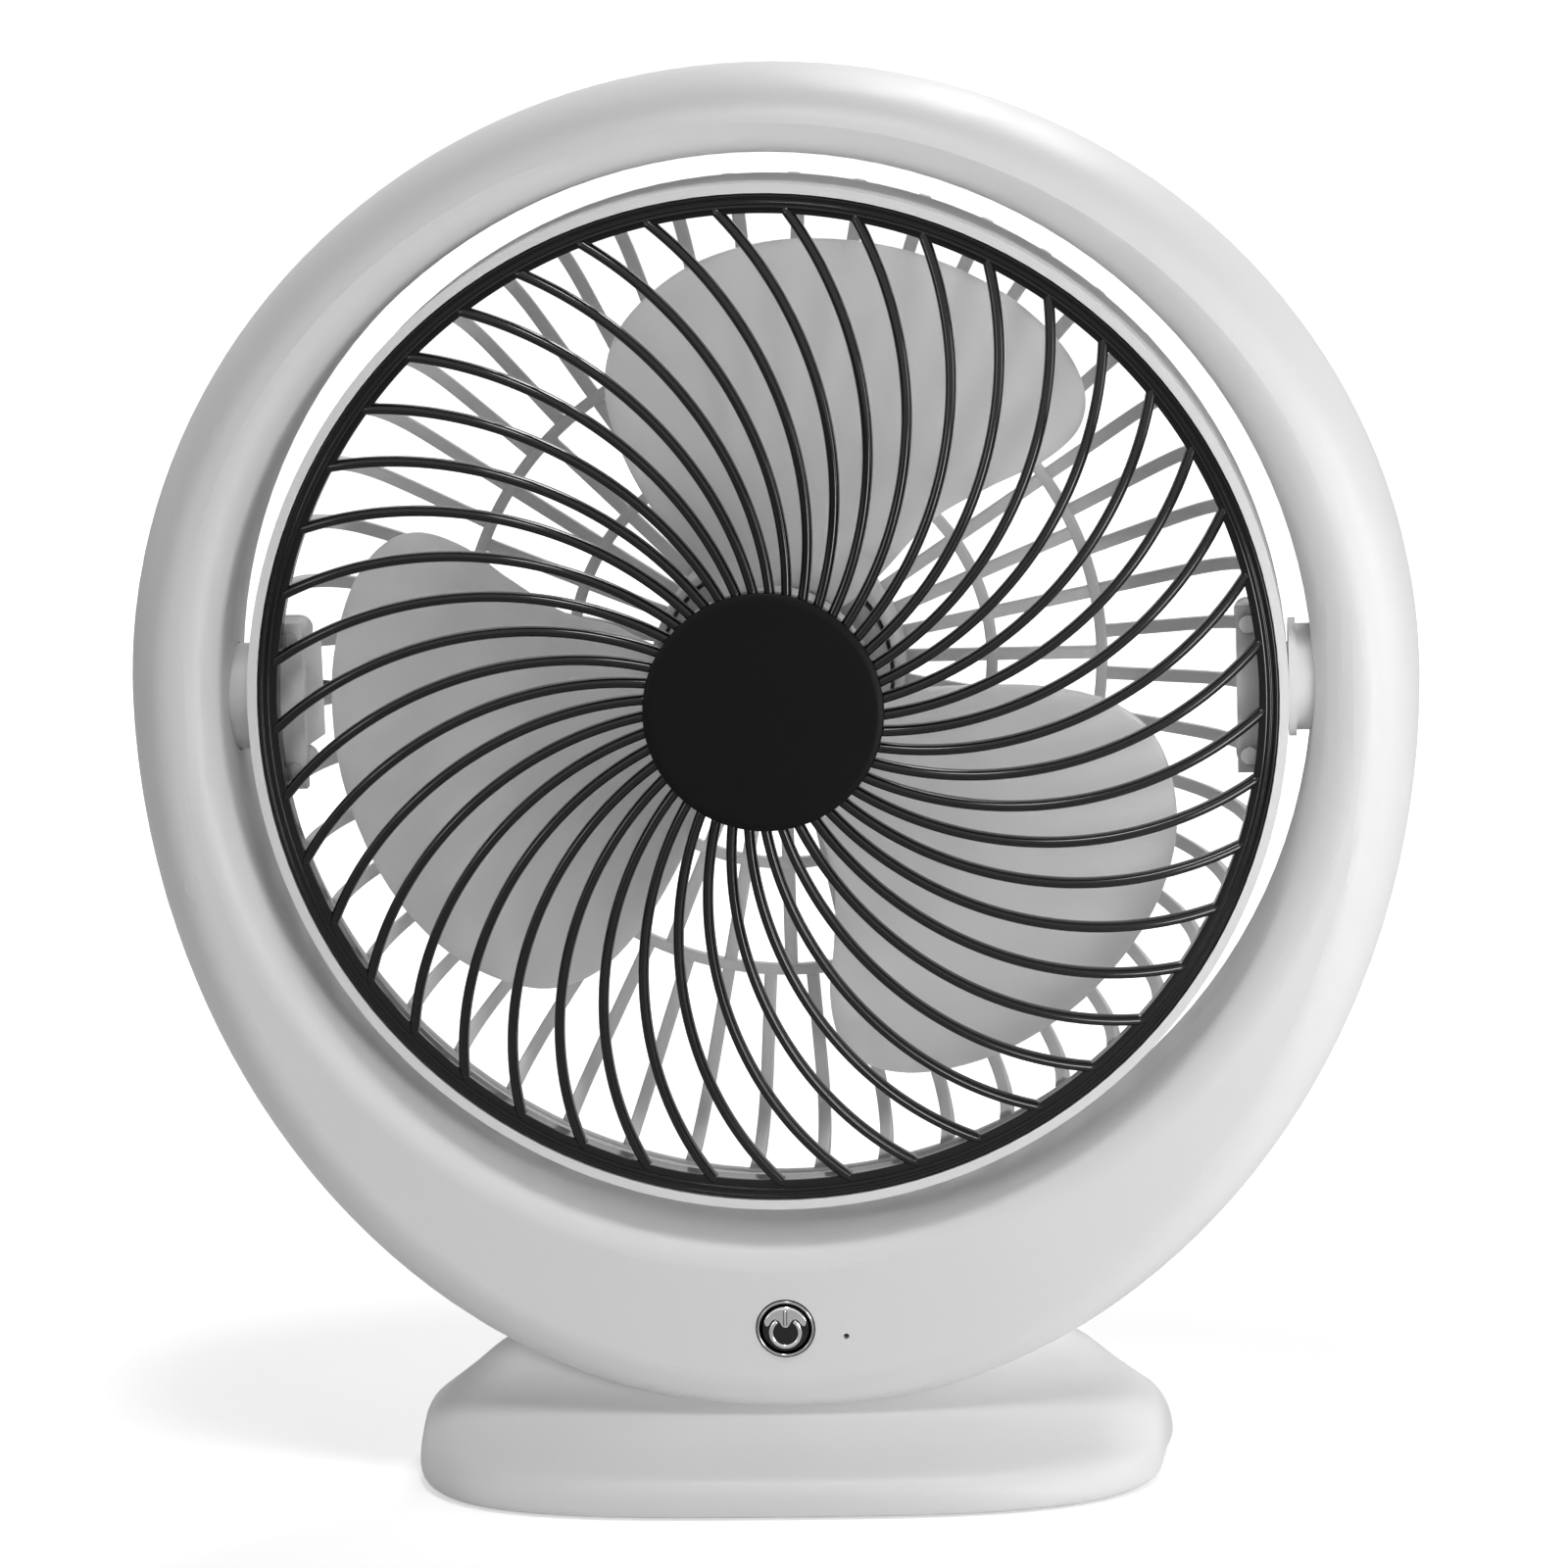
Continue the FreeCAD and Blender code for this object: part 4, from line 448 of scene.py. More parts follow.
# %% [markdown]
# ## Plate on the middle of the grille
# A blank matt plate covers the hub disc. It is a thin disc with a wide, low bevel. It could be part of the
# grille's mesh, but it has a duller finish than the ribs, so it is a piece of its own.
# %% Hub plate
PLATE_THICK, PLATE_BEVEL, PLATE_EDGE = 0.9, 1.2, 0.5
plate_profile = [(0.0, HUB_FRONT - PLATE_THICK), (HUB_R - PLATE_BEVEL, HUB_FRONT - PLATE_THICK),
                 (HUB_R, HUB_FRONT - PLATE_EDGE), (HUB_R, HUB_FRONT), (0.0, HUB_FRONT)]
hub_plate = turned(eased(plate_profile, radius=0.5, steps=6), steps=120)
piece("hub_plate", [(hub_plate, True, False)], "head", cap_black, ["hub_cap"])

# %% [markdown]
# ## Ribs of the rear basket
# Behind the blades a white basket closes the head. Its 48 outer ribs start at the rim, turn a rounded
# corner and run in to the outer ring of the flat back, and 32 straight spokes go on from there to the
# motor cup. The corner is a curve between a quarter circle and a square corner, because the ribs are seen
# through the front to stay near the rim for most of the depth.
# %% Outer ribs and spokes
BASKET_R, CORNER_R, BACK_Y, RIM_Y, WALL = 103.8, 84.8, 33.0, 3.0, 2.2
CORNER_POWER, CORNER_LEAD = 0.76, 3.0
OUTER_RIBS, SPOKES = 48, 32
CORNER_STEPS, FLAT_STEPS, SPOKE_STEPS = 26, 6, 10
OUTER_RIB_END, SPOKE_START, SPOKE_END = 66.0, 25.0, 67.0
BAR_HALF_WIDTH, BAR_HALF_DEPTH, BAR_POWER = 1.35, 1.06, 5.0
OUTWARD_FROM = (60.0, -8.0)
bar_y = BACK_Y - WALL / 2
quarter = np.linspace(0.0, np.pi / 2, CORNER_STEPS)
corner_r = CORNER_R + (BASKET_R - CORNER_R - WALL / 2) * np.cos(quarter) ** CORNER_POWER
corner_y = RIM_Y + (BACK_Y - RIM_Y - WALL / 2) * np.sin(quarter) ** CORNER_POWER
flat_r = np.linspace(CORNER_R - CORNER_LEAD, OUTER_RIB_END, FLAT_STEPS)
rib_r = np.concatenate([corner_r, flat_r])
rib_y = np.concatenate([corner_y, np.full(FLAT_STEPS, bar_y)])
rib_path = np.stack([rib_r, rib_y, 0 * rib_r], axis=1)
outward = np.stack([rib_r - OUTWARD_FROM[0], rib_y - OUTWARD_FROM[1], 0 * rib_r], axis=1)
basket_bar = bar_section(BAR_HALF_WIDTH, BAR_HALF_DEPTH, BAR_POWER)
outer_ribs = about_head(swept(rib_path, outward, basket_bar), OUTER_RIBS, 180 / OUTER_RIBS)
spoke_r = np.linspace(SPOKE_START, SPOKE_END, SPOKE_STEPS)
spoke_path = np.stack([spoke_r, np.full(SPOKE_STEPS, bar_y), 0 * spoke_r], axis=1)
spokes = about_head(swept(spoke_path, BACKWARDS, basket_bar), SPOKES)
print(len(outer_ribs), "outer ribs and", len(spokes), "spokes")

# %% [markdown]
# ## Rings, rim and motor cup of the basket
# Two rings tie the ribs together, a flat rim sits inside the head's band, and a cup in the middle holds
# the motor. The rings could be swept bars too, but a bar that meets itself needs its two ends joined. As
# turned sections they close by themselves, and rim and cup are turned profiles with eased corners.
# %% Turned pieces of the basket
RING_MIDDLES, TIE_HALF_WIDTH, TIE_HALF_DEPTH = (43.7, 66.5), 1.2, 1.22
RIM_IN, RIM_BACK = 102.3, 4.0
CUP_R, CUP_WALL, CUP_FRONT, CUP_HOLE = 26.0, 1.6, 12.0, 3.0
tie_section = bar_section(TIE_HALF_WIDTH, TIE_HALF_DEPTH, BAR_POWER)
tie_rings = [turned(np.array([r, bar_y]) + tie_section, steps=200) for r in RING_MIDDLES]
rim_profile = [(RIM_IN, 0.0), (BASKET_R, 0.0), (BASKET_R, RIM_BACK), (RIM_IN, RIM_BACK), (RIM_IN, 0.0)]
basket_rim = turned(eased(rim_profile, radius=0.3, steps=4))
cup_inner, cup_floor = CUP_R - CUP_WALL, BACK_Y - WALL
cup_profile = [(cup_inner, CUP_FRONT), (CUP_R, CUP_FRONT), (CUP_R, BACK_Y), (CUP_HOLE, BACK_Y),
               (CUP_HOLE, cup_floor), (cup_inner, cup_floor), (cup_inner, CUP_FRONT)]
motor_cup = turned(eased(cup_profile, radius=0.4, steps=4), steps=120)
print(len(tie_rings), "rings, cup", BACK_Y - CUP_FRONT, "mm deep")

# %% [markdown]
# ## Screw bosses of the basket
# Four small bosses carry the screws that hold basket and brackets together. Each is a pad with two round
# ends. A box with a bevel could do, but its bevel would be the same all round; here the outline is drawn
# once and narrowed a little at the front and the back.
# %% Round-ended pads, and the whole basket
BOSS_X, BOSS_END_X, BOSS_RISE, BOSS_R = 96.47, 100.6, 13.4, 2.7
BOSS_LEVELS = [(0.9, 0.0), (1.0, 0.3), (1.0, 2.7), (0.9, 3.0)]


def round_ended(x0, x1, z, radius, steps=14):
    """Outline of two half circles joined by straight sides: (x + r cos t, z + r sin t) at either end."""
    t = np.linspace(-np.pi / 2, np.pi / 2, steps)
    right_end = np.stack([x1 + radius * np.cos(t), z + radius * np.sin(t)], axis=1)
    left_end = np.stack([x0 - radius * np.cos(t), z - radius * np.sin(t)], axis=1)
    return np.concatenate([right_end, left_end])


def pad(outline, levels):
    """Closed pad: middle + share times (outline - middle) at each level's depth, with a point at both
    ends; a level is (share, depth)."""
    middle = outline.mean(axis=0)
    point = middle + 0 * outline
    flat = np.stack([point] + [middle + (outline - middle) * share for share, _ in levels] + [point])
    depths = [levels[0][1]] + [depth for _, depth in levels] + [levels[-1][1]]
    y = np.array(depths)[:, None] + 0 * flat[..., 0]
    return np.stack([flat[..., 0], y, flat[..., 1]], axis=-1)


def boss(side, above):
    """One boss: side is 1 on the right and -1 on the left, above is 1 over the axis and -1 under it."""
    x0, x1 = sorted((side * BOSS_X, side * BOSS_END_X))
    return pad(round_ended(x0, x1, HEAD_Z + above * BOSS_RISE, BOSS_R), BOSS_LEVELS)


bosses = [boss(side, above) for side in (1, -1) for above in (1, -1)]
basket = [(outer_ribs, False, True), (spokes, False, True)]
basket += [(basket_rim, True, False), (motor_cup, True, False)]
basket += [(grid, True, True) for grid in tie_rings]
basket += [(grid, False, True) for grid in bosses]
piece("rear_basket", basket, "head", basket_white, ["rear_grille"])

# %% [markdown]
# ## Outline of a blade
# The impeller has three broad blades like petals. Seen from the front a blade is a rounded shape between
# the hub and a circle just inside the grille. Its outline is given by a few points, as shares of the tip's
# radius and of the blade's span in degrees, and a smooth closed curve runs through them. Arcs and lines
# would need many more pieces to turn the tip's corners softly.
# %% Closed curve through the outline's points
TIP_R, BLADE_START, BLADE_SPAN = 90.8, 39.0, 84.0
OUTLINE_SHARES = np.array([
    (0.218, 0.13), (0.245, 0.065), (0.36, 0.045), (0.50, 0.050), (0.64, 0.010), (0.77, -0.022),
    (0.88, -0.014), (0.95, 0.035), (0.99, 0.12), (1.010, 0.24), (1.014, 0.38), (1.005, 0.52),
    (0.985, 0.64), (0.945, 0.75), (0.87, 0.86), (0.76, 0.93), (0.60, 0.968), (0.40, 0.975),
    (0.25, 0.95), (0.218, 0.88), (0.218, 0.76), (0.218, 0.64), (0.218, 0.51), (0.218, 0.38), (0.218, 0.25)])


def smooth_loop(points, steps=10):
    """Closed curve through its points. On the span from b to c, with a before and d after them, it is
    (2b + (c-a) s + (2a-5b+4c-d) s^2 + (3b-a-3c+d) s^3) / 2."""
    a, b, c, d = (np.roll(points, shift, 0)[:, None] for shift in (1, 0, -1, -2))
    s = np.linspace(0, 1, steps, endpoint=False)[None, :, None]
    slope = (c - a) * s
    bend = (2 * a - 5 * b + 4 * c - d) * s ** 2
    twist = (3 * b - a - 3 * c + d) * s ** 3
    return (0.5 * (2 * b + slope + bend + twist)).reshape(-1, 2)


places = np.radians(BLADE_START + BLADE_SPAN * OUTLINE_SHARES[:, 1])
blade_edge = smooth_loop(TIP_R * OUTLINE_SHARES[:, :1] * np.stack([np.cos(places), np.sin(places)], axis=1))
print("the edge of a blade reaches", round(np.hypot(*blade_edge.T).max(), 2), "mm from the axis")

# %% [markdown]
# ## The blade's sheet
# A blade is a thin sheet on a screw surface: going round, it falls evenly from back to front, and that
# slope is what pushes the air. Near the hub a plain screw would run into the motor plate behind it, so
# there the sheet follows the lower of two heights, blended softly so that no crease shows. The sheet has
# a front and a back skin that meet in a rolled edge, and rings of points crowd towards that edge.
# %% Screw surface with a rolled edge
BLADE_THICK, BLADE_MIDDLE_Y, BLADE_FALL = 1.6, 4.5, 25.0
ROOT_R, ROOT_LIMIT_Y, ROOT_SLOPE, CUP_CLEAR, CUP_RISE = 19.8, 7.0, 0.35, 26.0, 0.06
HEART_SHARE, SKIN_RINGS, CROWDING, EDGE_POWER = 0.56, 22, 2.4, 30
BLADE_COUNT = 3
blade_middle = math.radians(BLADE_START + BLADE_SPAN / 2)


def blade_height(angle, radius):
    """Depth of the sheet: -log(exp(-screw) + exp(-limit)), a soft lower of the two. The screw falls by
    25 mm over the span, and the limit rises with the radius, faster outside the motor cup."""
    screw = BLADE_MIDDLE_Y - BLADE_FALL / math.radians(BLADE_SPAN) * (angle - blade_middle) + BLADE_THICK / 2
    limit = ROOT_LIMIT_Y + ROOT_SLOPE * (radius - ROOT_R) + CUP_RISE * np.maximum(radius - CUP_CLEAR, 0) ** 2
    return -np.log(np.exp(-screw) + np.exp(-limit))


heart = HEART_SHARE * TIP_R * np.array([math.cos(blade_middle), math.sin(blade_middle)])
outwards = 1 - (1 - np.linspace(0, 1, SKIN_RINGS)) ** CROWDING
reach = np.concatenate([outwards, outwards[::-1][1:]])[:, None]
side = np.concatenate([-np.ones(SKIN_RINGS), np.ones(SKIN_RINGS - 1)])[:, None]
flat = heart + reach[..., None] * (blade_edge - heart)[None]
height = blade_height(np.arctan2(flat[..., 1], flat[..., 0]), np.hypot(flat[..., 0], flat[..., 1]))
skin = side * BLADE_THICK / 2 * np.sqrt(np.clip(1 - reach ** EDGE_POWER, 0, 1))
blades = about_head(np.stack([flat[..., 0], height + skin, flat[..., 1]], axis=-1), BLADE_COUNT)
print(len(blades), "blades from", round(height.min(), 1), "to", round(height.max(), 1), "mm in depth")

# %% [markdown]
# ## The impeller's hub
# The blades grow out of a cup-shaped hub that covers the motor and grips its shaft with a sleeve. A solid
# drum would look the same from the front, but the back shows that it is a shell. So it is turned from one
# closed profile: front, outer wall, inner wall and sleeve.
# %% Hub shell and the whole impeller
SHELL_R, SHELL_WALL, SHELL_FRONT, SHELL_BACK, SLEEVE_R, SHAFT_R = 20.5, 1.8, -20.0, 2.0, 4.0, 1.5
shell_inner, shell_floor = SHELL_R - SHELL_WALL, SHELL_FRONT + SHELL_WALL
shell_profile = [(SHAFT_R, SHELL_FRONT), (SHELL_R, SHELL_FRONT), (SHELL_R, SHELL_BACK),
                 (shell_inner, SHELL_BACK), (shell_inner, shell_floor), (SLEEVE_R, shell_floor),
                 (SLEEVE_R, SHELL_BACK), (SHAFT_R, SHELL_BACK), (SHAFT_R, SHELL_FRONT)]
hub_shell = turned(eased(shell_profile, radius=0.9, steps=6), steps=120)
piece("impeller_moulding", [(blades, False, True), (hub_shell, True, False)],
      "impeller_set", blade_grey, ["impeller"])

# %% [markdown]
# ## The button's cap
# The button is a plated cap that slides in a thin bezel, 12 mm wide with it. Its dark field is turned
# from a profile with a rounded rim and a flange behind that keeps it in the casing. Its black is a painted
# dark reflection of the room, and on the flange it is painted shade in the groove round the cap. A scaled
# ball could give a domed cap, but not the flange. The height comes from the imported bezel, so that the
# pieces stay centred on each other.
# %% Cap with a painted dark reflection
BEZEL_LOW, BEZEL_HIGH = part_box("button_bezel")
BUTTON_Z = 0.5 * (BEZEL_LOW[2] + BEZEL_HIGH[2]) / MM
AT_BUTTON = (0.0, BUTTON_Z)
CAP_R, FLANGE_R, CAP_FRONT, FLANGE_FRONT, CAP_BACK = 4.9, 5.8, -20.3, -17.3, -16.5
CAP_FLAT_R, CAP_DISH, CAP_EDGE = 4.0, 0.05, 0.3
cap_profile = [(0.0, CAP_FRONT + CAP_DISH), (CAP_FLAT_R, CAP_FRONT), (CAP_R, CAP_FRONT + CAP_EDGE),
               (CAP_R, FLANGE_FRONT), (FLANGE_R, FLANGE_FRONT), (FLANGE_R, CAP_BACK), (0.0, CAP_BACK)]
button_cap = turned(eased(cap_profile, radius=0.5, steps=6), 96, AT_BUTTON)
# The cap's black is a painted dark reflection, and on the flange it is painted groove shade.
piece("button_face", [(button_cap, True, False)], "button", painted_dark_reflection_and_shade, ["power_button"])

# %% [markdown]
# ## Ring and bar on the button
# The sign on the cap is the usual open ring with a bar in its gap, in bright relief. Each is a slim
# rounded bar along a path: an arc that leaves a gap at the top, and a short upright. A groove round the
# bar is shown by painted shade, a thin dark bar just under the bright one, so that the bar stands out
# from the bright field above. Cutting the groove into the cap would need a boolean, and the painted shade
# looks the same.
# %% Relief and painted groove shade
SIGN_R, SIGN_DROP, SIGN_HALF_GAP, SIGN_Y = 2.95, 0.8, 37, -20.36
STROKE_LOW, STROKE_HIGH, STROKE_Y, GROOVE_SINK = 0.7, 3.9, -20.46, 0.16
SLIM_POWER, SIGN_STEPS, STROKE_STEPS = 2.2, 72, 16


def slim_bar(path, half_width, half_depth):
    """A nearly elliptical bar of 16 sides along a path, with its depth towards the back."""
    return swept(path, BACKWARDS, bar_section(half_width, half_depth, SLIM_POWER, steps=16))


turn_to_gap = np.linspace(90 + SIGN_HALF_GAP, 90 - SIGN_HALF_GAP + 360, SIGN_STEPS)
round_sign = np.radians(turn_to_gap)
ring_path = np.stack([SIGN_R * np.cos(round_sign), np.full(SIGN_STEPS, SIGN_Y),
                      BUTTON_Z - SIGN_DROP + SIGN_R * np.sin(round_sign)], axis=1)
sign_ring = slim_bar(ring_path, half_width=0.43, half_depth=0.28)
bar_z = BUTTON_Z + np.linspace(STROKE_LOW, STROKE_HIGH, STROKE_STEPS)
bar_path = np.stack([0 * bar_z, np.full(STROKE_STEPS, STROKE_Y), bar_z], axis=1)
sign_bar = slim_bar(bar_path, half_width=0.27, half_depth=0.22)
# Painted shade: a dark bar that stands for the shade in the groove round the bright bar.
painted_groove_shade = slim_bar(bar_path + np.array([0.0, GROOVE_SINK, 0.0]), half_width=0.44, half_depth=0.10)
print("open ring with a gap of", 2 * SIGN_HALF_GAP, "degrees, bar", STROKE_HIGH - STROKE_LOW, "mm long")

# %% [markdown]
# ## Bright field of the button
# The upper half of the cap is a bright plate. Its top follows the cap's circle and its lower border waves
# round the open ring like a wide W. The plate is a grid between the two borders, slightly bulged so that
# it catches a soft light, with its back and its top edge closed. A cut-out picture could show the shape,
# but would have no edge for the light to run along.
# %% Plate between two borders
FIELD_R, FIELD_HALF = 4.62, 4.3
WAVE_X = [0, 0.35, 0.65, 0.9, 1.2, 1.6, 2.1, 2.5, 2.85, 3.15, 3.4, 3.65, 3.9, 4.1, 4.25, 4.30]
WAVE_Z = [0.0, 0.06, 0.28, 0.75, 1.25, 1.65, 1.85, 1.72, 1.35, 0.85, 0.50, 0.36, 0.42, 0.65, 1.05, 1.70]
FIELD_FRONT, FIELD_BULGE, FIELD_BACK = -20.20, 0.14, -20.1
FIELD_COLUMNS, FIELD_ROWS, BULGE_POWER = 97, 9, 6


def field_borders(x):
    """Lower and upper border at x: the upper is the circle sqrt(R^2 - x^2), the lower goes straight from
    one wave height to the next, never passes the upper and meets it at both ends, which closes them."""
    upper = np.sqrt(FIELD_R ** 2 - x ** 2)
    lower = np.interp(np.abs(x), WAVE_X, WAVE_Z)
    return np.minimum(lower, upper), upper


x = FIELD_HALF * np.sin(np.linspace(-np.pi / 2, np.pi / 2, FIELD_COLUMNS))
lower, upper = field_borders(x)
rise = np.linspace(0, 1, FIELD_ROWS)[:, None]
z = lower[None] + (upper - lower)[None] * rise
bulge = np.sqrt(np.clip(1 - (2 * rise - 1) ** BULGE_POWER, 0, 1)) + 0 * z
plate_front = np.stack([x[None] + 0 * z, FIELD_FRONT - FIELD_BULGE * bulge, BUTTON_Z + z], axis=-1)
plate_back = plate_front[::-1].copy()
plate_back[..., 1] = FIELD_BACK
bright_field = np.concatenate([plate_front, plate_back, plate_front[:1]])
relief = [(sign_ring, False, True), (sign_bar, False, True), (bright_field, False, False)]
piece("button_mark", relief, "button", chrome)

# %% [markdown]
# ## Bezel round the button
# A thin bright lip stands round the cap, with a painted shadow outside it: a dark ring in the gap where it
# meets the white ring. Both are turned profiles less than a millimetre wide. The painted shadow is a piece
# of its own, since one mesh with two finishes would need its faces sorted by hand.
# %% Painted groove shade, lip and the painted shadow at its foot
LIP_IN, LIP_OUT, LIP_SLEEVE, LIP_CHAMFER = 5.3, 5.9, 5.6, 0.15
LIP_TOP, LIP_INNER_EDGE, LIP_OUTER_EDGE, LIP_SEAT, LIP_BACK = -20.48, -20.25, -20.2, -19.0, -17.6
lip_profile = [(LIP_IN, LIP_BACK), (LIP_IN, LIP_INNER_EDGE), (LIP_IN + LIP_CHAMFER, LIP_TOP),
               (LIP_OUT - LIP_CHAMFER, LIP_TOP), (LIP_OUT, LIP_OUTER_EDGE), (LIP_OUT, LIP_SEAT),
               (LIP_SLEEVE, LIP_SEAT), (LIP_SLEEVE, LIP_BACK), (LIP_IN, LIP_BACK)]
# Painted shadow: a dark ring that stands for the shade in the gap between the bezel and the white ring.
SHADE_IN, SHADE_OUT, SHADE_FRONT, SHADE_BACK = 5.85, 6.1, -20.08, -18.9
gap_shade_profile = [(SHADE_IN, SHADE_FRONT), (SHADE_OUT, SHADE_FRONT), (SHADE_OUT, SHADE_BACK), (SHADE_IN, SHADE_BACK),
                (SHADE_IN, SHADE_FRONT)]
bezel_lip = turned(eased(lip_profile, radius=0.15), 96, AT_BUTTON)
bezel_gap_shade = turned(eased(gap_shade_profile, radius=0.05, steps=4), 96, AT_BUTTON)
# Painted shade of the groove round the button's bar.
piece("button_painted_groove_shade", [(painted_groove_shade, False, True)], "button", painted_dark_reflection_and_shade)
# The lip's chrome is painted dimmer to stand for its half-dark reflection.
piece("button_rim", [(bezel_lip, True, False)], "stand", rim_chrome_painted_dimmer, ["button_bezel"])
# Painted shadow in the gap at the bezel's foot.
piece("button_rim_gap_shade", [(bezel_gap_shade, True, False)], "stand", painted_dark_reflection_and_shade)

# %% [markdown]
# ## Lamps
# A white fan on white needs soft light that still shows its roundness. Five round lamps stand round it: a
# broad one behind and above for the thin parts, one high over the front, a weak one from the front left,
# and two small near ones on the right that draw the brighter side of the ring. One big lamp would be
# simpler, but would flatten the ring. The camera doesn't see the lamps themselves.
# %% Five round lamps
FAN_MIDDLE = (0.0, 0.0, 0.14)
# Each row: name, degrees round from the front, degrees up, metres away, metres wide, watts.
LAMPS = (
    ("right_near", 80, 10, 0.55, 0.22, 0.62),
    ("front_near", 38, -4, 0.60, 0.18, 1.20),
    ("top", 8, 70, 1.4, 0.30, 5.6),
    ("front_left", -50, 12, 1.4, 0.25, 1.2),
    ("back", 165, 40, 1.4, 0.5, 6.0))


def around(azimuth, rise, distance):
    """Place on a sphere about the fan: azimuth turns from the front to the right, rise lifts it; both in
    degrees: (d cos h sin a, -d cos h cos a, d sin h) from the fan's middle."""
    a, h = math.radians(azimuth), math.radians(rise)
    step = Vector((math.cos(h) * math.sin(a), -math.cos(h) * math.cos(a), math.sin(h)))
    return Vector(FAN_MIDDLE) + distance * step


def lamp(name, place, size, watts):
    """A round lamp of a given width in metres and power in watts that looks at the fan's middle."""
    light = bpy.data.lights.new(name, "AREA")
    light.shape = "DISK"
    light.size = size
    light.energy = watts
    made = bpy.data.objects.new(name, light)
    made.location = place
    made.rotation_euler = (Vector(FAN_MIDDLE) - place).to_track_quat("-Z", "Y").to_euler()
    made.visible_camera = False
    bpy.context.scene.collection.objects.link(made)


for name, azimuth, rise, distance, size, watts in LAMPS:
    lamp(name, around(azimuth, rise, distance), size, watts)
print(len(LAMPS), "lamps with", round(sum(row[-1] for row in LAMPS), 2), "watts in all")

# %% [markdown]
# ## White surroundings
# The picture's background is pure white, yet surroundings that bright would wash out every shadow. So the
# surroundings have two strengths. Rays that come straight from the camera, pass through something clear
# or bounce off something glossy see full white, and the rays that carry soft light about see a weak one.
# %% Surroundings with two strengths
SOFT_LIGHT, SEEN_LIGHT = 0.18, 1.0
world = bpy.data.worlds.new("studio")
bpy.context.scene.world = world
world.use_nodes = True
sky = world.node_tree
soft = sky.nodes["Background"]
soft.inputs["Color"].default_value = (1, 1, 1, 1)
soft.inputs["Strength"].default_value = SOFT_LIGHT
seen = sky.nodes.new("ShaderNodeBackground")
seen.inputs["Color"].default_value = (1, 1, 1, 1)
seen.inputs["Strength"].default_value = SEEN_LIGHT


def larger(tree, first, second):
    """The larger of two values."""
    step = tree.nodes.new("ShaderNodeMath")
    step.operation = "MAXIMUM"
    tree.links.new(first, step.inputs[0])
    tree.links.new(second, step.inputs[1])
    return step.outputs[0]


rays = sky.nodes.new("ShaderNodeLightPath").outputs
direct = larger(sky, rays["Is Camera Ray"], rays["Is Transmission Ray"])
white_rays = larger(sky, direct, rays["Is Glossy Ray"])
mix = sky.nodes.new("ShaderNodeMixShader")
sky.links.new(white_rays, mix.inputs["Fac"])
sky.links.new(soft.outputs[0], mix.inputs[1])
sky.links.new(seen.outputs[0], mix.inputs[2])
sky.links.new(mix.outputs[0], sky.nodes["World Output"].inputs["Surface"])
print("surroundings", SOFT_LIGHT, "for soft light and", SEEN_LIGHT, "where they are seen")

# %% [markdown]
# ## Pale floor
# The fan stands on a plain pale sheet that melts into the white background and keeps only a soft shadow
# near the base. A lit floor alone ends in a grey band, so it also glows for the camera, weakly under the
# fan and fully from about half a metre out. The glow is for camera rays only, so it casts no light on the
# fan, and it is measured from the floor's own middle.
# %% Floor that fades to white
FLOOR_HALF, FLOOR_TONE, FLOOR_ROUGH = 9, 0.86, 0.9
GLOW_NEAR, GLOW_FAR, GLOW_WEAK, GLOW_FULL = 0.14, 0.55, 0.5, 1.0
floor_corners = [(-FLOOR_HALF, -FLOOR_HALF, 0), (FLOOR_HALF, -FLOOR_HALF, 0),
                 (FLOOR_HALF, FLOOR_HALF, 0), (-FLOOR_HALF, FLOOR_HALF, 0)]
floor_mesh = bpy.data.meshes.new("floor")
floor_mesh.from_pydata(floor_corners, [], [(0, 1, 2, 3)])
floor = bpy.data.objects.new("floor", floor_mesh)
bpy.context.scene.collection.objects.link(floor)
pale = bpy.data.materials.new("pale_floor")
pale.use_nodes = True
sheet = pale.node_tree
matt = sheet.nodes["Principled BSDF"]
matt.inputs["Base Color"].default_value = (FLOOR_TONE, FLOOR_TONE, FLOOR_TONE, 1)
matt.inputs["Roughness"].default_value = FLOOR_ROUGH
matt.inputs["Specular IOR Level"].default_value = 0.0
distance = sheet.nodes.new("ShaderNodeVectorMath")
distance.operation = "LENGTH"
sheet.links.new(sheet.nodes.new("ShaderNodeTexCoord").outputs["Object"], distance.inputs[0])
brighten = sheet.nodes.new("ShaderNodeMapRange")
brighten.inputs["From Min"].default_value = GLOW_NEAR
brighten.inputs["From Max"].default_value = GLOW_FAR
brighten.inputs["To Min"].default_value = GLOW_WEAK
brighten.inputs["To Max"].default_value = GLOW_FULL
sheet.links.new(distance.outputs["Value"], brighten.inputs["Value"])
glow = sheet.nodes.new("ShaderNodeEmission")
sheet.links.new(brighten.outputs["Result"], glow.inputs["Strength"])
print("floor", 2 * FLOOR_HALF, "m wide, full glow from", GLOW_FAR, "m")

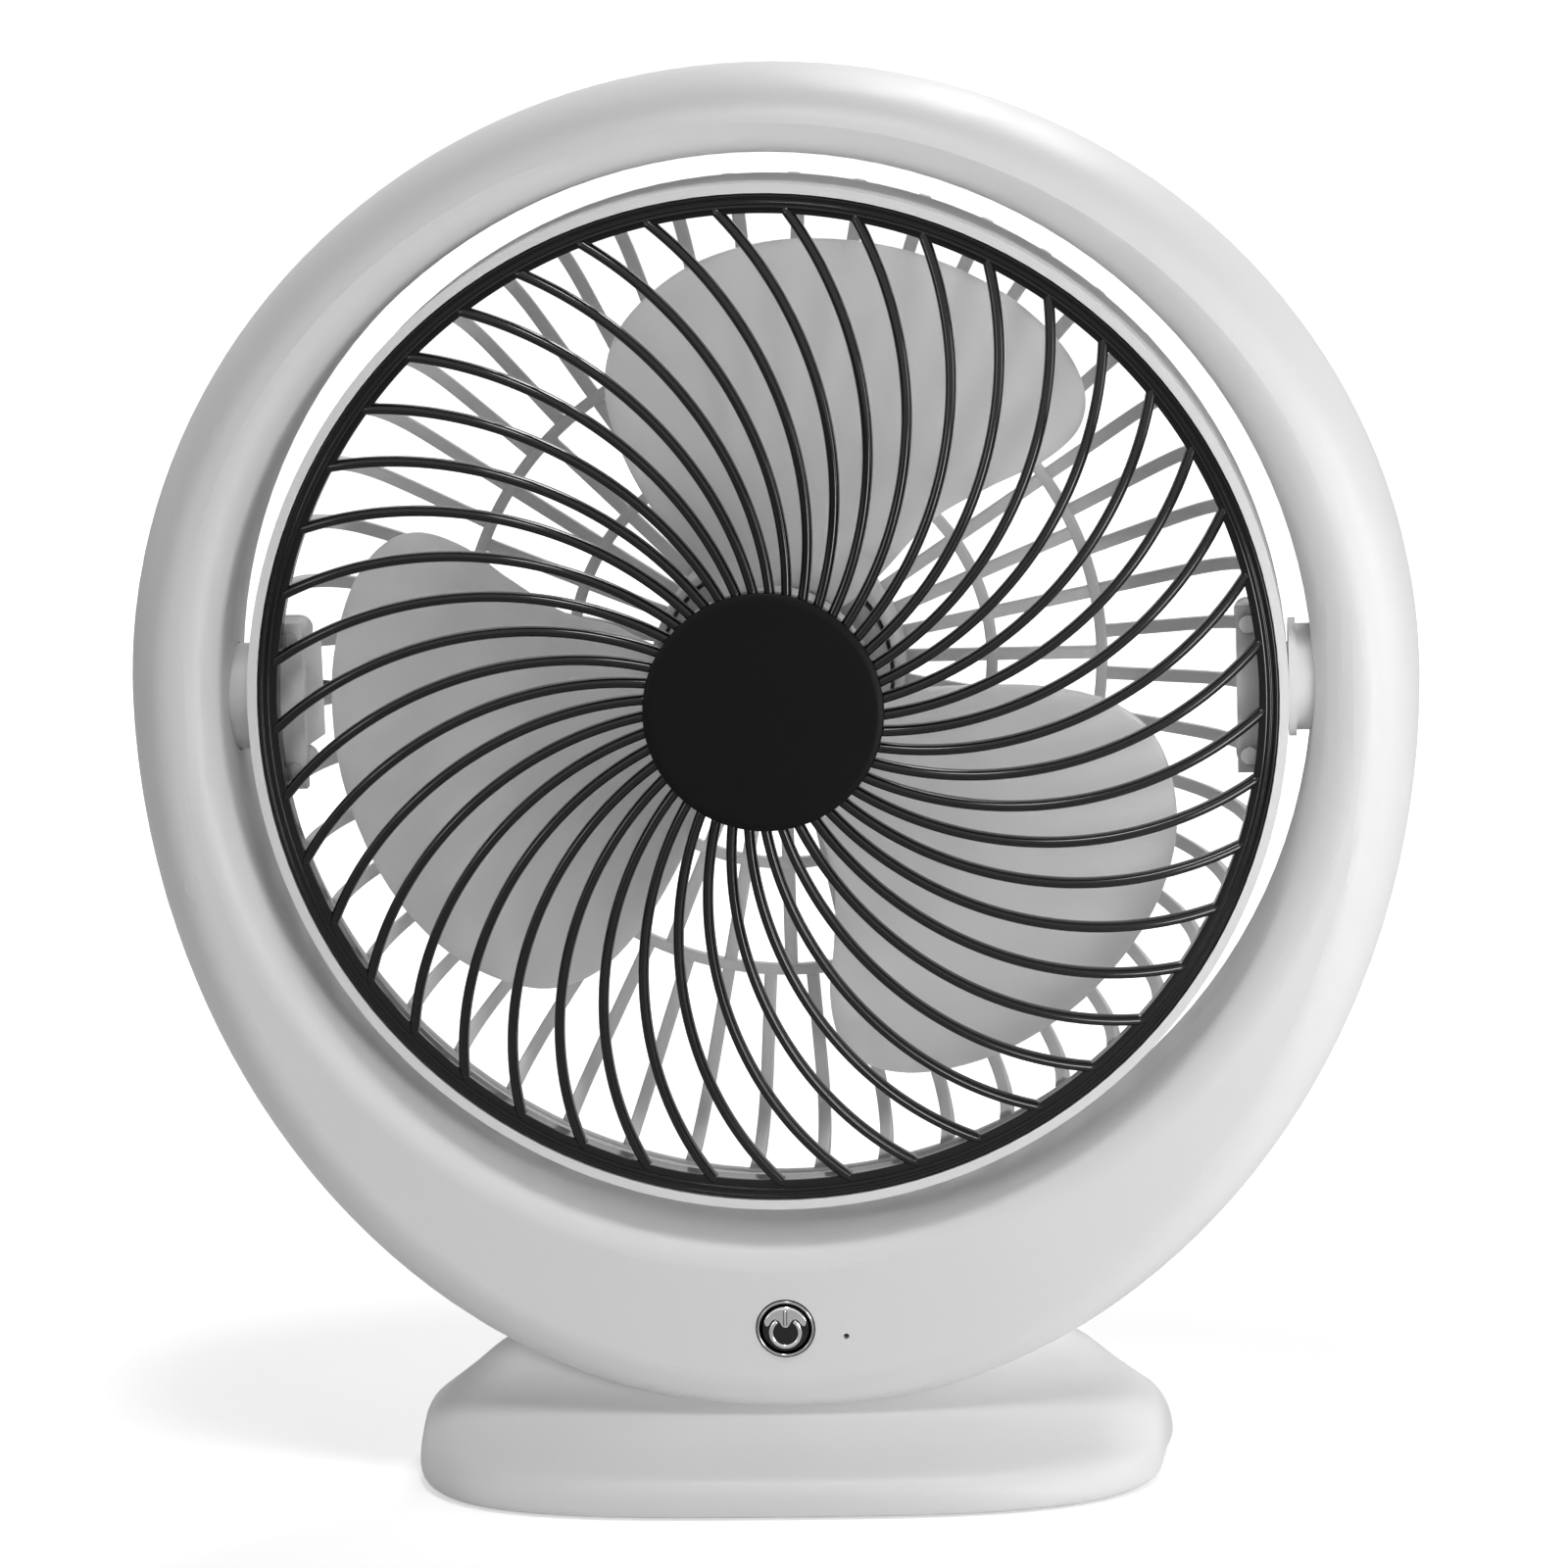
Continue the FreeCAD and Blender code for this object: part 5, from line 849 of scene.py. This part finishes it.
# %% [markdown]
# ## Joining sheet and glow
# Adding the glow to the lit sheet keeps the shadow, because the glow only lifts what the lamps leave.
# A switch on camera rays then shows the sum to the camera and the plain sheet to all other rays.
# %% Glow for the camera only
glowing = sheet.nodes.new("ShaderNodeAddShader")
sheet.links.new(matt.outputs[0], glowing.inputs[0])
sheet.links.new(glow.outputs[0], glowing.inputs[1])
shown = sheet.nodes.new("ShaderNodeMixShader")
sheet.links.new(sheet.nodes.new("ShaderNodeLightPath").outputs["Is Camera Ray"], shown.inputs["Fac"])
sheet.links.new(matt.outputs[0], shown.inputs[1])
sheet.links.new(glowing.outputs[0], shown.inputs[2])
sheet.links.new(shown.outputs[0], sheet.nodes["Material Output"].inputs["Surface"])
floor_mesh.materials.append(pale)
print("floor staged with", len(sheet.nodes), "nodes")

# %% [markdown]
# ## Camera
# The picture was taken from a little to the right and a little above, with a long lens that hardly bends
# the round ring. Turning the camera by hand until it fits is slow, so its place is worked out from three
# angles and a distance: the way back from the fan, the way to the right and the way up make its frame,
# and the roll turns right and up about the line of sight.
# %% Camera from three angles
AZIMUTH, ELEVATION, ROLL, DISTANCE = 3.96, 11.46, -1.78, 1.3
AIM = Vector((0.00176, 0.0, 0.1434))
SENSOR_WIDTH, FOCAL_PIXELS, PICTURE_PIXELS, NEAR_LIMIT = 36.0, 6507.16, 1600, 0.05
az, el, roll = (math.radians(value) for value in (AZIMUTH, ELEVATION, ROLL))
back = Vector((math.sin(az) * math.cos(el), -math.cos(az) * math.cos(el), math.sin(el)))
level = Vector((math.cos(az), math.sin(az), 0))
upright = back.cross(level)
right = level * math.cos(roll) + upright * math.sin(roll)
up = upright * math.cos(roll) - level * math.sin(roll)
view = bpy.data.cameras.new("camera")
view.sensor_width = SENSOR_WIDTH
view.lens = SENSOR_WIDTH * FOCAL_PIXELS / PICTURE_PIXELS
view.clip_start = NEAR_LIMIT
camera = bpy.data.objects.new("camera", view)
stand = Matrix((right, up, back)).transposed().to_4x4()
stand.translation = AIM + back * DISTANCE
camera.matrix_world = stand
bpy.context.scene.collection.objects.link(camera)
bpy.context.scene.camera = camera
bpy.context.scene.view_settings.view_transform = "Standard"
print("camera at", [round(value, 3) for value in stand.translation], "lens", round(view.lens, 1), "mm")
